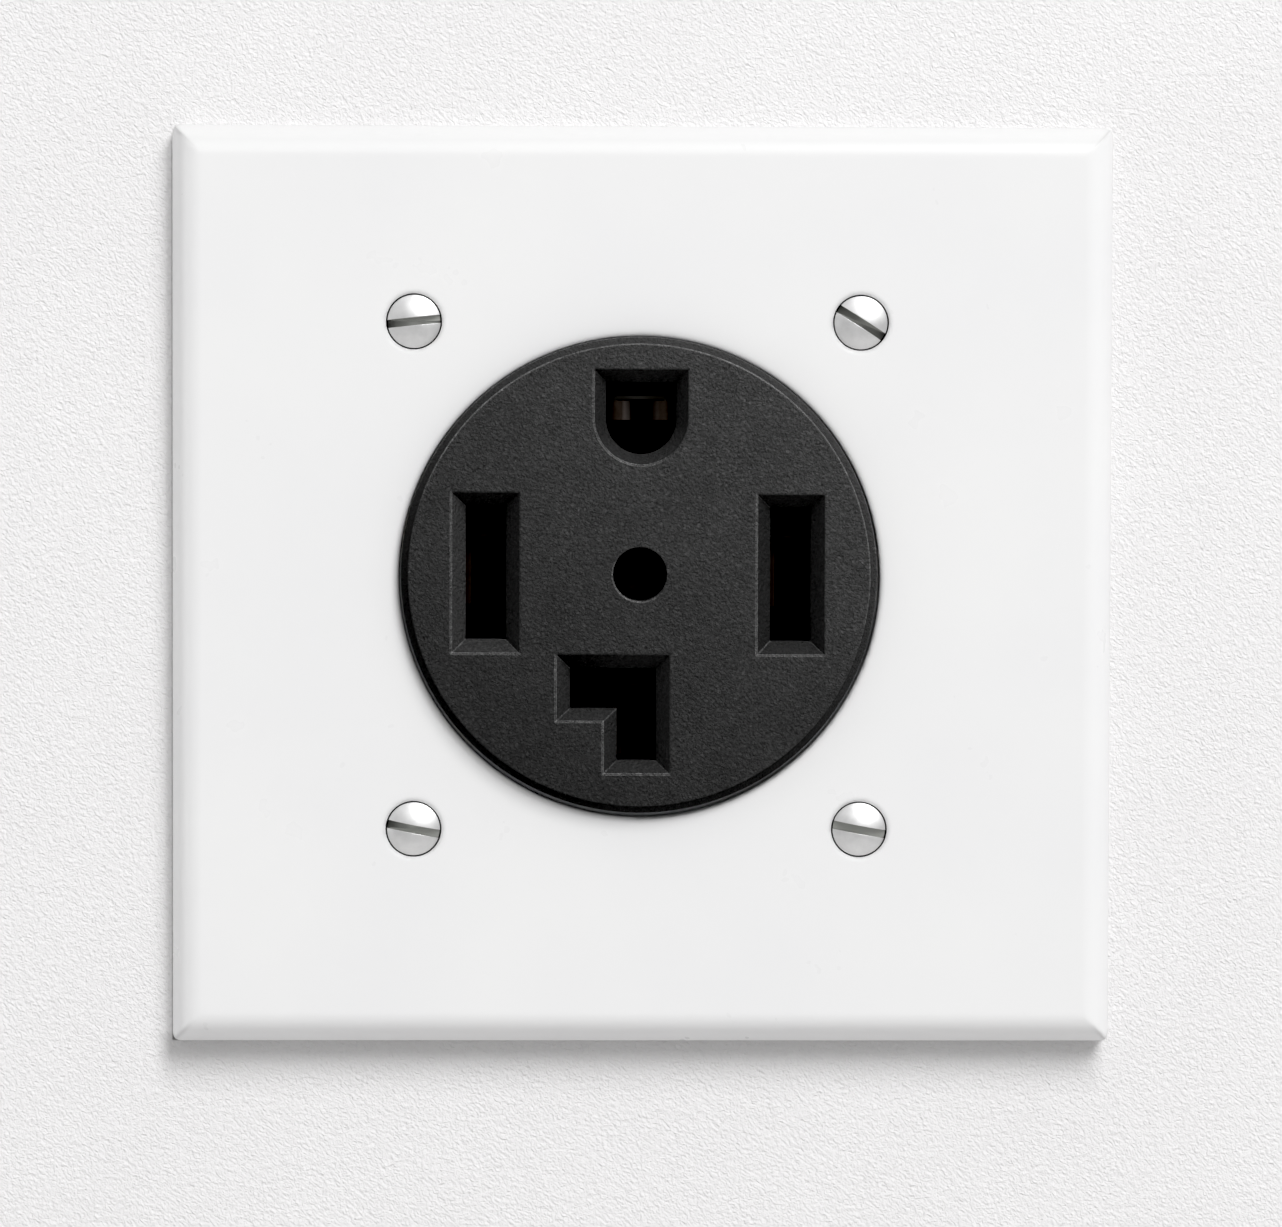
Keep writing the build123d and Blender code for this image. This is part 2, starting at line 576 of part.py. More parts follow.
with BuildPart() as ground_spring:
    gz, gh = (gnd_z0 + gnd_z1) / 2, gnd_z1 - gnd_z0
    with BuildSketch(Plane.XZ.offset(-clip_y1)) as clip:
        with Locations((gnd_cx, gz + 0.35)):
            Rectangle(2 * (clip_in + 0.65 + clip_t), gh + 0.7)
        with Locations((gnd_cx, gz + 0.05 - 0.2)):
            Rectangle(2 * (clip_in + 0.65), gh + 0.7, mode=Mode.SUBTRACT)
    extrude(amount=clip_y1 - clip_y0)
    fillet(ground_spring.edges().filter_by(Axis.Y).group_by(Axis.Z)[-1], radius=0.6)
ground_spring.part.label = "ground_spring"

# ================================================================ box lugs
lug_len = lug_wall + lug_room + lug_top
with BuildPart() as hot_lug_left:
    with BuildSketch(Plane.XZ.offset(-lug_y1)) as tube:
        with Locations((-(rt_hot + mid_off), hot_l[1])):
            RectangleRounded(lug_len, lug_t, 0.8)
        with Locations((-(rt_hot + lug_room / 2), hot_l[1])):
            Rectangle(lug_room, lug_room_t, mode=Mode.SUBTRACT)
    extrude(amount=lug_y1 - lug_y0)
    with BuildSketch(Plane(origin=(0, 0, 0), x_dir=(0, 1, 0), z_dir=(-1, 0, 0)).offset(rt_hot + lug_room - 1)) as tapped:
        with Locations((term_y, -hot_l[1])):
            Circle(term_r + 0.04)
    extrude(amount=lug_top + 2, mode=Mode.SUBTRACT)
hot_lug_left.part.label = "hot_lug_left"

with BuildPart() as hot_lug_right:
    with BuildSketch(Plane.XZ.offset(-lug_y1)) as tube:
        with Locations((rt_hot + mid_off, hot_r[1])):
            RectangleRounded(lug_len, lug_t, 0.8)
        with Locations((rt_hot + lug_room / 2, hot_r[1])):
            Rectangle(lug_room, lug_room_t, mode=Mode.SUBTRACT)
    extrude(amount=lug_y1 - lug_y0)
    with BuildSketch(Plane.YZ.offset(rt_hot + lug_room - 1)) as tapped:
        with Locations((term_y, hot_r[1])):
            Circle(term_r + 0.04)
    extrude(amount=lug_top + 2, mode=Mode.SUBTRACT)
hot_lug_right.part.label = "hot_lug_right"

with BuildPart() as neutral_lug:
    with BuildSketch(Plane.XZ.offset(-lug_y1)) as tube:
        with Locations((neu_cx, -(rt_neu + mid_off))):
            RectangleRounded(lug_t, lug_len, 0.8)
        with Locations((neu_cx, -(rt_neu + lug_room / 2))):
            Rectangle(lug_room_t, lug_room, mode=Mode.SUBTRACT)
    extrude(amount=lug_y1 - lug_y0)
    with BuildSketch(Plane.XY.offset(-(rt_neu + lug_room - 1))) as tapped:
        with Locations((neu_cx, term_y)):
            Circle(term_r + 0.04)
    extrude(amount=-(lug_top + 2), mode=Mode.SUBTRACT)
neutral_lug.part.label = "neutral_lug"

with BuildPart() as ground_lug:
    with BuildSketch(Plane.XZ.offset(-lug_y1)) as tube:
        with Locations((gnd_cx, rt_gnd + mid_off)):
            RectangleRounded(lug_t, lug_len, 0.8)
        with Locations((gnd_cx, rt_gnd + lug_room / 2)):
            Rectangle(lug_room_t, lug_room, mode=Mode.SUBTRACT)
    extrude(amount=lug_y1 - lug_y0)
    with BuildSketch(Plane.XY.offset(rt_gnd + lug_room - 1)) as tapped:
        with Locations((gnd_cx, term_y)):
            Circle(term_r + 0.04)
    extrude(amount=lug_top + 2, mode=Mode.SUBTRACT)
ground_lug.part.label = "ground_lug"

# ================================================================ clamping screws (headless, slotted)
term_in = lug_room - 0.3           # inner end, from the tongue's outer side
term_len = 4.9
with BuildPart() as hot_terminal_screws:
    with BuildSketch(Plane(origin=(0, 0, 0), x_dir=(0, 1, 0), z_dir=(-1, 0, 0)).offset(rt_hot + term_in)) as left_rod:
        with Locations((term_y, -hot_l[1])):
            Circle(term_r)
    extrude(amount=term_len)
    with BuildSketch(Plane.YZ.offset(rt_hot + term_in)) as right_rod:
        with Locations((term_y, hot_r[1])):
            Circle(term_r)
    extrude(amount=term_len)
    chamfer(hot_terminal_screws.edges().filter_by(GeomType.CIRCLE), length=0.35)
    with BuildSketch(Plane.YZ.offset(rt_hot + term_in + term_len + 1)) as right_slot:
        with Locations((term_y, hot_r[1])):
            Rectangle(1.2, 8, rotation=25)
    extrude(amount=-2.6, mode=Mode.SUBTRACT)
    with BuildSketch(Plane.YZ.offset(-(rt_hot + term_in + term_len + 1))) as left_slot:
        with Locations((term_y, hot_l[1])):
            Rectangle(1.2, 8, rotation=-40)
    extrude(amount=2.6, mode=Mode.SUBTRACT)
hot_terminal_screws.part.label = "hot_terminal_screws"

with BuildPart() as neutral_terminal_screw:
    with BuildSketch(Plane.XY.offset(-(rt_neu + term_in))) as rod:
        with Locations((neu_cx, term_y)):
            Circle(term_r)
    extrude(amount=-term_len)
    chamfer(neutral_terminal_screw.edges().filter_by(GeomType.CIRCLE), length=0.35)
    with BuildSketch(Plane.XY.offset(-(rt_neu + term_in + term_len + 1))) as slot:
        with Locations((neu_cx, term_y)):
            Rectangle(1.2, 8, rotation=70)
    extrude(amount=2.6, mode=Mode.SUBTRACT)
neutral_terminal_screw.part.label = "neutral_terminal_screw"

with BuildPart() as ground_terminal_screw:
    with BuildSketch(Plane.XY.offset(rt_gnd + term_in)) as rod:
        with Locations((gnd_cx, term_y)):
            Circle(term_r)
    extrude(amount=term_len)
    chamfer(ground_terminal_screw.edges().filter_by(GeomType.CIRCLE), length=0.35)
    with BuildSketch(Plane.XY.offset(rt_gnd + term_in + term_len + 1)) as slot:
        with Locations((gnd_cx, term_y)):
            Rectangle(1.2, 8, rotation=-15)
    extrude(amount=-2.6, mode=Mode.SUBTRACT)
ground_terminal_screw.part.label = "ground_terminal_screw"

# ================================================================ centre screw and nut
with BuildPart() as centre_screw:
    with BuildSketch(Plane(origin=(mid_x, 0, mid_z), x_dir=(1, 0, 0), z_dir=(0, 0, 1))) as half:
        with BuildLine():
            Polyline((0, -3.6), (2.2, -3.6), (3.0, -2.9), (3.0, -2.0), (2.0, -2.0), (2.0, 28.7), (1.5, 29.2), (0, 29.2), (0, -3.6))
        make_face()
    revolve(axis=Axis((mid_x, 0, mid_z), (0, 1, 0)))
    with BuildSketch(Plane(origin=(mid_x, -4.5, mid_z), x_dir=(1, 0, 0), z_dir=(0, -1, 0))) as slot:
        Rectangle(8, 1.0, rotation=35)
    extrude(amount=-1.7, mode=Mode.SUBTRACT)
centre_screw.part.label = "centre_screw"

with BuildPart() as centre_nut:
    with BuildSketch(Plane.XZ.offset(-26.0)) as hexagon:
        with Locations((mid_x, mid_z)):
            RegularPolygon(radius=4.95, side_count=6)
            Circle(2.03, mode=Mode.SUBTRACT)
    extrude(amount=-2.8)
centre_nut.part.label = "centre_nut"

# ================================================================ assembly screws
with BuildPart() as assembly_screws:
    for ax, az in asm_points:
        with BuildSketch(Plane(origin=(ax, 0, az), x_dir=(1, 0, 0), z_dir=(0, 0, 1))) as half:
            with BuildLine():
                Polyline((0, 29.2), (2.4, 29.2), (3.2, 28.5), (3.2, 27.0), (1.5, 27.0), (1.5, -3.6), (0.9, -4.4), (0, -4.4), (0, 29.2))
            make_face()
        revolve(axis=Axis((ax, 0, az), (0, 1, 0)))
        with BuildSketch(Plane(origin=(ax, 30.0, az), x_dir=(1, 0, 0), z_dir=(0, 1, 0))) as cross:
            Rectangle(3.6, 0.9, rotation=20)
            Rectangle(0.9, 3.6, rotation=20)
        extrude(amount=-2.0, mode=Mode.SUBTRACT)
assembly_screws.part.label = "assembly_screws"

# ================================================================ box screws and their retaining washers
box_points = ((-box_dx / 2, box_dz / 2), (box_dx / 2, box_dz / 2), (-box_dx / 2, -box_dz / 2), (box_dx / 2, -box_dz / 2))
with BuildPart() as box_screws:
    for (bx, bz), angle in zip(box_points, (12, 77, -35, 50)):
        with BuildSketch(Plane(origin=(bx, 0, bz), x_dir=(1, 0, 0), z_dir=(0, 0, 1))) as half:
            with BuildLine():
                Polyline(
                    (0, -3.05), (2.6, -3.05), (3.4, -2.4), (3.4, -1.6), (1.55, -1.6), (1.55, 1.0), (1.75, 1.0),
                    (1.75, 21.4), (1.15, 22.0), (0, 22.0), (0, -3.05),
                )
            make_face()
        revolve(axis=Axis((bx, 0, bz), (0, 1, 0)))
        with BuildSketch(Plane(origin=(bx, -3.5, bz), x_dir=(1, 0, 0), z_dir=(0, -1, 0))) as slot:
            Rectangle(8, 0.9, rotation=angle)
        extrude(amount=-1.25, mode=Mode.SUBTRACT)
box_screws.part.label = "box_screws"

with BuildPart() as screw_retainers:
    with BuildSketch(seat) as washers:
        with Locations(*box_points):
            Circle(4.2)
            Circle(1.56, mode=Mode.SUBTRACT)
    extrude(amount=-0.7)
screw_retainers.part.label = "screw_retainers"

# ================================================================ ground bridge and rivet
with BuildPart() as ground_bridge:
    with BuildSketch(Plane.YZ.offset(gnd_cx - 3.0)) as bent:
        with BuildLine():
            Polyline((-back_gap, 38.0), (1.0, 38.0), (1.0, 25.2), (web_y - strip_t / 2, 25.2), (web_y - strip_t / 2, 24.2), (-back_gap, 24.2), (-back_gap, 38.0))
        make_face()
    extrude(amount=6.0)
    bend = ground_bridge.edges().filter_by(Axis.X).filter_by(lambda e: abs(e.center().Z - 24.2) < 0.01 and e.center().Y < 0.01)
    fillet(bend, radius=0.9)
    with BuildSketch(Plane.XZ.offset(1)) as rivet_hole:
        with Locations((gnd_cx, 34.5)):
            Circle(1.55)
    extrude(amount=-4, mode=Mode.SUBTRACT)
ground_bridge.part.label = "ground_bridge"

cap_h = 0.9                                   # domed rivet heads
cap_ball = (2.5**2 + cap_h**2) / (2 * cap_h)
cap_half = math.asin(2.5 / cap_ball) / 2
cap_x, cap_d = cap_ball * math.sin(cap_half), cap_ball * (1 - math.cos(cap_half))
with BuildPart() as bridge_rivet:
    with BuildSketch(Plane(origin=(gnd_cx, 0, 34.5), x_dir=(1, 0, 0), z_dir=(0, 0, 1))) as half:
        with BuildLine():
            ThreePointArc((0, -strap_t - cap_h), (cap_x, -strap_t - cap_h + cap_d), (2.5, -strap_t))
            Polyline((2.5, -strap_t), (1.5, -strap_t), (1.5, 1.0), (2.5, 1.0))
            ThreePointArc((2.5, 1.0), (cap_x, 1.0 + cap_h - cap_d), (0, 1.0 + cap_h))
            Line((0, 1.0 + cap_h), (0, -strap_t - cap_h))
        make_face()
    revolve(axis=Axis((gnd_cx, 0, 34.5), (0, 1, 0)))
bridge_rivet.part.label = "bridge_rivet"

# ================================================================ write the pieces
os.makedirs("parts", exist_ok=True)
for piece in (
    wall_plate, plate_screws, face_cover, mounting_strap, rear_body,
    hot_contact_left, hot_contact_right, neutral_contact, ground_contact,
    hot_spring_left, hot_spring_right, neutral_spring, ground_spring,
    hot_lug_left, hot_lug_right, neutral_lug, ground_lug,
    hot_terminal_screws, neutral_terminal_screw, ground_terminal_screw,
    centre_screw, centre_nut, assembly_screws, box_screws, screw_retainers,
    ground_bridge, bridge_rivet,
):
    export_step(piece.part, f"parts/{piece.part.label}.step")
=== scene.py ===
import json
import math

import bmesh
import bpy
from mathutils import Matrix, Vector


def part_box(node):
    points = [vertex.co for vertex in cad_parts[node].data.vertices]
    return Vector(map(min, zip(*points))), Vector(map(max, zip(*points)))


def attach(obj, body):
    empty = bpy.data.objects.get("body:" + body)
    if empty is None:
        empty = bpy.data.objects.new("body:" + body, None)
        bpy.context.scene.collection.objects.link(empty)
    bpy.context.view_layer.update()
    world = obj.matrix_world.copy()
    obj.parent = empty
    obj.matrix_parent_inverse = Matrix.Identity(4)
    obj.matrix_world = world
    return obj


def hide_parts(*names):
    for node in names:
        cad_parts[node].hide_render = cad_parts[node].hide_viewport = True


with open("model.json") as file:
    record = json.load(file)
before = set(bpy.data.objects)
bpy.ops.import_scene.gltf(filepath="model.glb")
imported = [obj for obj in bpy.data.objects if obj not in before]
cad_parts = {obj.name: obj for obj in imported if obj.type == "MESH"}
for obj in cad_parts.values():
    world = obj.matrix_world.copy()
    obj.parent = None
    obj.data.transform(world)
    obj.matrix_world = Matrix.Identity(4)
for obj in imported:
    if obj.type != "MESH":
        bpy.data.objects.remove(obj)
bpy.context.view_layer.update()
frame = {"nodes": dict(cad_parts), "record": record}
nodes = frame["nodes"]
scene = bpy.context.scene
MM = 0.001


# ---------------------------------------------------------------- node helpers
class Look:
    """One material: a principled shader with helpers for the nodes that feed it."""

    def __init__(self, name, metallic=0.0, **constants):
        self.mat = bpy.data.materials.new(name)
        self.mat.use_nodes = True
        self.tree = self.mat.node_tree
        self.tree.nodes.clear()
        self.out = self.tree.nodes.new("ShaderNodeOutputMaterial")
        self.shader = self.tree.nodes.new("ShaderNodeBsdfPrincipled")
        self.shader.inputs["Metallic"].default_value = metallic
        for socket, value in constants.items():
            self.shader.inputs[socket.replace("_", " ")].default_value = value
        self.link(self.shader.outputs["BSDF"], self.out.inputs["Surface"])
        self.where = self.add("ShaderNodeTexCoord").outputs["Object"]

    def add(self, kind, **props):
        n = self.tree.nodes.new(kind)
        for k, v in props.items():
            setattr(n, k, v)
        return n

    def link(self, a, b):
        self.tree.links.new(a, b)

    def put(self, value, socket):
        if isinstance(value, (int, float, tuple, list)):
            socket.default_value = value
        else:
            self.link(value, socket)

    def stretch(self, scale, offset=(0, 0, 0), turn=(0, 0, 0)):
        n = self.add("ShaderNodeMapping")
        n.inputs["Location"].default_value = offset
        n.inputs["Rotation"].default_value = turn
        n.inputs["Scale"].default_value = scale
        self.link(self.where, n.inputs["Vector"])
        return n.outputs["Vector"]

    def slanted(self, degrees, along):
        """Coordinates turned about Y and drawn out along the turned X."""
        a = self.add("ShaderNodeMapping")
        a.inputs["Rotation"].default_value = (0, math.radians(degrees), 0)
        self.link(self.where, a.inputs["Vector"])
        b = self.add("ShaderNodeMapping")
        b.inputs["Scale"].default_value = (along, 1, 1)
        self.link(a.outputs["Vector"], b.inputs["Vector"])
        return b.outputs["Vector"]

    def axes(self):
        n = self.add("ShaderNodeSeparateXYZ")
        self.link(self.where, n.inputs[0])
        return n.outputs["X"], n.outputs["Y"], n.outputs["Z"]

    def facing(self, direction, lo, hi):
        """0 to 1 as the surface turns towards a fixed direction of the object's own frame."""
        g = self.add("ShaderNodeNewGeometry")
        d = self.add("ShaderNodeVectorMath", operation="DOT_PRODUCT")
        self.link(g.outputs["Normal"], d.inputs[0])
        d.inputs[1].default_value = direction
        return self.remap(d.outputs["Value"], lo, hi, 0.0, 1.0)

    def from_screw(self):
        """Distance from the nearest plate screw's axis; the four fold onto one."""
        shift = self.add("ShaderNodeVectorMath", operation="SUBTRACT")
        self.link(self.where, shift.inputs[0])
        shift.inputs[1].default_value = (-0.26 * MM, 0.0, -0.17 * MM)
        fold = self.add("ShaderNodeVectorMath", operation="ABSOLUTE")
        self.link(shift.outputs[0], fold.inputs[0])
        centre = self.add("ShaderNodeVectorMath", operation="SUBTRACT")
        self.link(fold.outputs[0], centre.inputs[0])
        centre.inputs[1].default_value = (27.5 * MM, 0.0, 31.25 * MM)
        flat = self.add("ShaderNodeVectorMath", operation="MULTIPLY")
        self.link(centre.outputs[0], flat.inputs[0])
        flat.inputs[1].default_value = (1.0, 0.0, 1.0)
        radius = self.add("ShaderNodeVectorMath", operation="LENGTH")
        self.link(flat.outputs[0], radius.inputs[0])
        return radius.outputs["Value"]

    def noise(self, size_mm, detail=3.0, rough=0.55, warp=0.0, at=None):
        """Noise whose features are about size_mm across, 0 to 1."""
        n = self.add("ShaderNodeTexNoise", noise_dimensions="3D")
        n.inputs["Scale"].default_value = 1.0 / (size_mm * MM)
        n.inputs["Detail"].default_value = detail
        n.inputs["Roughness"].default_value = rough
        n.inputs["Distortion"].default_value = warp
        self.link(at or self.where, n.inputs["Vector"])
        return n.outputs["Fac"]

    def cells(self, size_mm, feature="SMOOTH_F1", at=None, smooth=0.6):
        n = self.add("ShaderNodeTexVoronoi", voronoi_dimensions="3D", feature=feature)
        n.inputs["Scale"].default_value = 1.0 / (size_mm * MM)
        if feature == "SMOOTH_F1":
            n.inputs["Smoothness"].default_value = smooth
        self.link(at or self.where, n.inputs["Vector"])
        return n.outputs["Distance"]

    def math(self, op, a, b=0.0, c=0.0, clamp=False):
        n = self.add("ShaderNodeMath", operation=op, use_clamp=clamp)
        for v, s in zip((a, b, c), n.inputs):
            self.put(v, s)
        return n.outputs[0]

    def remap(self, value, a, b, lo, hi, smooth=False):
        n = self.add("ShaderNodeMapRange", clamp=True)
        if smooth:
            n.interpolation_type = "SMOOTHSTEP"
        for v, s in zip((value, a, b, lo, hi), n.inputs):
            self.put(v, s)
        return n.outputs["Result"]

    def blend(self, fac, a, b):
        n = self.add("ShaderNodeMix", data_type="RGBA")
        self.put(fac, n.inputs["Factor"])
        for v, s in ((a, n.inputs["A"]), (b, n.inputs["B"])):
            sockets = [i for i in n.inputs if i.name == s.name and i.type == "RGBA"]
            self.put((*v, 1.0) if isinstance(v, tuple) and len(v) == 3 else v, sockets[0])
        return [o for o in n.outputs if o.type == "RGBA"][0]

    def soft_edges(self, radius_mm, samples=3):
        """Normals rounded over the sharp edges, as moulding and plating leave them."""
        n = self.add("ShaderNodeBevel", samples=samples)
        n.inputs["Radius"].default_value = radius_mm * MM
        self.rounded = n.outputs["Normal"]
        return self.rounded

    def turned(self, direction, lo, hi):
        """0 to 1 as the rounded normal turns towards a fixed direction; call it after soft_edges."""
        d = self.add("ShaderNodeVectorMath", operation="DOT_PRODUCT")
        self.link(self.rounded, d.inputs[0])
        d.inputs[1].default_value = direction
        return self.remap(d.outputs["Value"], lo, hi, 0.0, 1.0)

    def edges(self, lo=0.02, hi=0.25):
        """1 on the edges that soft_edges rounds, 0 on open faces."""
        g = self.add("ShaderNodeNewGeometry")
        d = self.add("ShaderNodeVectorMath", operation="DOT_PRODUCT")
        self.link(self.rounded, d.inputs[0])
        self.link(g.outputs["Normal"], d.inputs[1])
        off = self.math("SUBTRACT", 1.0, d.outputs["Value"])
        return self.remap(off, lo, hi, 0.0, 1.0)

    def bump(self, height, depth_mm, strength=1.0, normal=None):
        n = self.add("ShaderNodeBump")
        n.inputs["Strength"].default_value = strength
        n.inputs["Distance"].default_value = depth_mm * MM
        self.link(height, n.inputs["Height"])
        if normal is not None:
            self.link(normal, n.inputs["Normal"])
        return n.outputs["Normal"]

    def finish(self, colour, roughness, normal=None):
        self.put((*colour, 1.0) if isinstance(colour, tuple) and len(colour) == 3 else colour, self.shader.inputs["Base Color"])
        self.put(roughness, self.shader.inputs["Roughness"])
        if normal is not None:
            self.link(normal, self.shader.inputs["Normal"])
        return self.mat


# ---------------------------------------------------------------- finishes
def plate_plastic():
    """White moulded thermoset: smooth and softly glossy, with the faint waviness and cloudiness of a moulding."""
    k = Look("plate_plastic", Specular_IOR_Level=0.40)
    cloud = k.noise(26, 2.0, 0.5)
    speck = k.noise(0.35, 2.0, 0.6)
    tone = k.blend(k.remap(cloud, 0.35, 0.65, 0.0, 1.0), (0.780, 0.780, 0.784), (0.796, 0.796, 0.796))
    tone = k.blend(k.remap(speck, 0.26, 0.34, 0.20, 0.0), tone, (0.755, 0.755, 0.750))
    # painted shade: what faces up is darker, toning down the strongly lit top bevel
    tone = k.blend(k.math("MULTIPLY", k.facing((0.0, 0.0, 1.0), 0.15, 0.60), 0.56), tone, (0.60, 0.60, 0.597))
    # painted shade in the narrow gap round each screw head
    x, y, z = k.axes()
    near = k.remap(k.from_screw(), 3.52 * MM, 3.46 * MM, 0.0, 1.0)
    deep = k.remap(y, -5.385 * MM, -5.28 * MM, 0.0, 1.0)
    tone = k.blend(k.math("MULTIPLY", near, deep), tone, (0.012, 0.012, 0.012))
    rough = k.remap(k.noise(7, 3.0, 0.6), 0.3, 0.7, 0.27, 0.36)
    wave = k.bump(k.noise(2.2, 2.0, 0.5), 0.006, 0.5, k.soft_edges(1.0))
    fine = k.bump(k.noise(0.22, 2.0, 0.6), 0.0012, 0.5, wave)
    return k.finish(tone, rough, fine)


def black_face():
    """Matt black moulded face with a fine leathery grain. The bevels are smoother and the edges polished. Painted
    highlights lie on the edges that face the light, painted light towards the upper right and painted shade on what
    faces away."""
    k = Look("black_face", Specular_IOR_Level=0.03, Coat_Roughness=0.30, Coat_IOR=1.7)
    x, y, z = k.axes()
    grained = k.remap(y, -7.86 * MM, -7.72 * MM, 1.0, 0.30)
    worms = k.noise(0.38, 3.0, 0.58, 1.5, k.slanted(-35, 0.75))
    pits = k.cells(0.40)
    grain = k.math("MULTIPLY_ADD", pits, -0.55, worms)
    cloud = k.noise(6.0, 3.0, 0.6)
    normal = k.soft_edges(0.26)
    edge = k.edges(0.006, 0.024)
    # painted highlight: the mouths' left and lower edges and the disc rim's top edge, which face the light, are painted
    # pale; they are also polished and coated
    out = k.add("ShaderNodeVectorMath", operation="LENGTH")
    flat = k.add("ShaderNodeVectorMath", operation="MULTIPLY")
    flat.inputs[1].default_value = (1.0, 0.0, 1.0)
    k.link(k.where, flat.inputs[0])
    k.link(flat.outputs[0], out.inputs[0])
    far = k.remap(out.outputs["Value"], 27.8 * MM, 28.0 * MM, 0.0, 1.0)
    on_rim = k.math("MULTIPLY", k.turned((0.30, 0.0, 0.95), -0.02, 0.14), far)
    near = k.math("MULTIPLY", k.turned((0.70, 0.0, 0.71), 0.06, 0.20), k.math("SUBTRACT", 1.0, far))
    polish_and_painted_highlight = k.math("MULTIPLY", k.math("ADD", on_rim, near), k.turned((0.0, -1.0, 0.0), 0.62, 0.74))
    polish_and_painted_highlight = k.math("MULTIPLY", k.math("MULTIPLY", edge, polish_and_painted_highlight), k.remap(k.noise(0.8, 3.0, 0.6), 0.30, 0.60, 0.40, 1.0))
    # painted light: the face is lighter towards the upper right and darker towards the lower left
    painted_light_upper_right = k.math("MULTIPLY_ADD", z, 10.0, k.math("MULTIPLY_ADD", x, 5.7, 0.5), clamp=True)
    tone = k.blend(painted_light_upper_right, (0.0500, 0.0500, 0.0502), (0.1720, 0.1720, 0.1724))
    tone = k.blend(k.remap(cloud, 0.3, 0.7, 0.25, 0.0), tone, (0.040, 0.040, 0.040))
    crest = k.remap(worms, 0.34, 0.66, 0.0, 1.0)
    tone = k.blend(k.math("MULTIPLY", k.math("MULTIPLY", k.math("SUBTRACT", 1.0, crest), grained), 0.50), tone, (0.018, 0.018, 0.018))
    # the mouths' bevels: greyest round the left slot, darker to the right; painted light makes the left slot's
    # upward-facing bevels lighter
    slope = k.blend(k.remap(x, -13 * MM, -8 * MM, 0.0, 1.0), (0.070, 0.070, 0.070), (0.044, 0.044, 0.044))
    slope = k.blend(k.remap(x, 1 * MM, 8 * MM, 0.0, 1.0), slope, (0.038, 0.038, 0.038))
    slope = k.blend(k.math("MULTIPLY", k.facing((0.0, 0.0, 1.0), 0.3, 0.6), k.remap(x, -11 * MM, -8 * MM, 0.0, 0.22)), slope, (0.090, 0.090, 0.090))
    streaks = k.noise(0.30, 3.0, 0.6, 0.6, k.slanted(50, 0.35))
    slope = k.blend(k.remap(streaks, 0.34, 0.66, 0.45, 0.0), slope, (0.016, 0.016, 0.016))
    tone = k.blend(k.remap(grained, 1.0, 0.30, 0.0, 1.0), tone, slope)
    # painted shade: the disc's rim is blacker, most of all low and left, away from the light
    rim = k.remap(out.outputs["Value"], 28.40 * MM, 28.52 * MM, 0.0, 1.0)
    tone = k.blend(rim, tone, k.blend(k.math("MULTIPLY_ADD", z, 22.0, k.math("MULTIPLY_ADD", x, 12.0, 0.35), clamp=True), (0.016, 0.016, 0.016), (0.060, 0.060, 0.060)))
    # painted shade: what faces away from the upper right and front is darkened, most of all on the left
    painted_shade_facing_away = k.math("SUBTRACT", 1.0, k.facing((0.55, -0.35, 0.75), -0.40, 0.30))
    tone = k.blend(k.math("MULTIPLY", painted_shade_facing_away, k.remap(x, -9 * MM, -1 * MM, 0.62, 0.12)), tone, (0.004, 0.004, 0.004))
    # painted highlight: the edges facing the light are painted pale
    tone = k.blend(k.math("MULTIPLY", polish_and_painted_highlight, 0.90), tone, (0.62, 0.62, 0.62))
    rough = k.math("SUBTRACT", k.remap(k.noise(0.9, 3.0, 0.6), 0.3, 0.7, 0.50, 0.64), k.math("MULTIPLY", polish_and_painted_highlight, 0.20))
    k.put(k.math("MULTIPLY", polish_and_painted_highlight, 0.9), k.shader.inputs["Coat Weight"])
    k.link(normal, k.shader.inputs["Coat Normal"])
    n = k.bump(k.math("MULTIPLY", grain, grained), 1.9, 1.0, normal)
    n = k.bump(k.noise(0.16, 2.0, 0.6), 0.012, 0.5, n)
    return k.finish(tone, rough, n)


def black_body():
    """Black moulded body: coarser, slightly shinier, with faint flow marks along the depth and paler rubbed edges."""
    k = Look("black_body", Specular_IOR_Level=0.40)
    flow = k.noise(4.0, 4.0, 0.6, 0.8, k.stretch((1.0, 0.25, 1.0)))
    grain = k.noise(0.45, 3.0, 0.6, 0.6)
    normal = k.soft_edges(0.22)
    edge = k.edges(0.03, 0.3)
    rub = k.math("MULTIPLY", edge, k.remap(k.noise(1.6, 4.0, 0.65), 0.40, 0.62, 0.15, 0.9))
    tone = k.blend(k.remap(flow, 0.3, 0.7, 0.0, 1.0), (0.018, 0.018, 0.019), (0.029, 0.029, 0.030))
    tone = k.blend(rub, tone, (0.075, 0.074, 0.072))
    rough = k.math("ADD", k.remap(flow, 0.3, 0.7, 0.36, 0.50), k.math("MULTIPLY", grain, 0.10))
    n = k.bump(grain, 0.030, 0.5, normal)
    n = k.bump(flow, 0.05, 0.25, n)
    return k.finish(tone, rough, n)


def zinc_steel():
    """Zinc-plated strip steel: bluish grey, rolled along its length, cloudy passivation, dull sheared edges."""
    k = Look("zinc_steel", metallic=1.0)
    rolled = k.noise(0.30, 3.0, 0.6, 0.0, k.stretch((1.0, 1.0, 0.06)))
    cloud = k.noise(5.0, 4.0, 0.6, 0.7)
    tint = k.noise(11.0, 2.0, 0.5, 0.4)
    normal = k.soft_edges(0.14)
    edge = k.edges(0.03, 0.3)
    tone = k.blend(k.remap(cloud, 0.3, 0.7, 0.0, 1.0), (0.50, 0.52, 0.545), (0.66, 0.67, 0.68))
    tone = k.blend(k.remap(tint, 0.50, 0.72, 0.0, 0.5), tone, (0.66, 0.62, 0.50))
    tone = k.blend(k.math("MULTIPLY", edge, 0.45), tone, (0.80, 0.80, 0.80))
    rough = k.math("ADD", k.remap(cloud, 0.3, 0.7, 0.28, 0.42), k.math("MULTIPLY", rolled, 0.10))
    n = k.bump(rolled, 0.006, 0.6, normal)
    n = k.bump(k.noise(0.5, 3.0, 0.6), 0.004, 0.5, n)
    return k.finish(tone, rough, n)


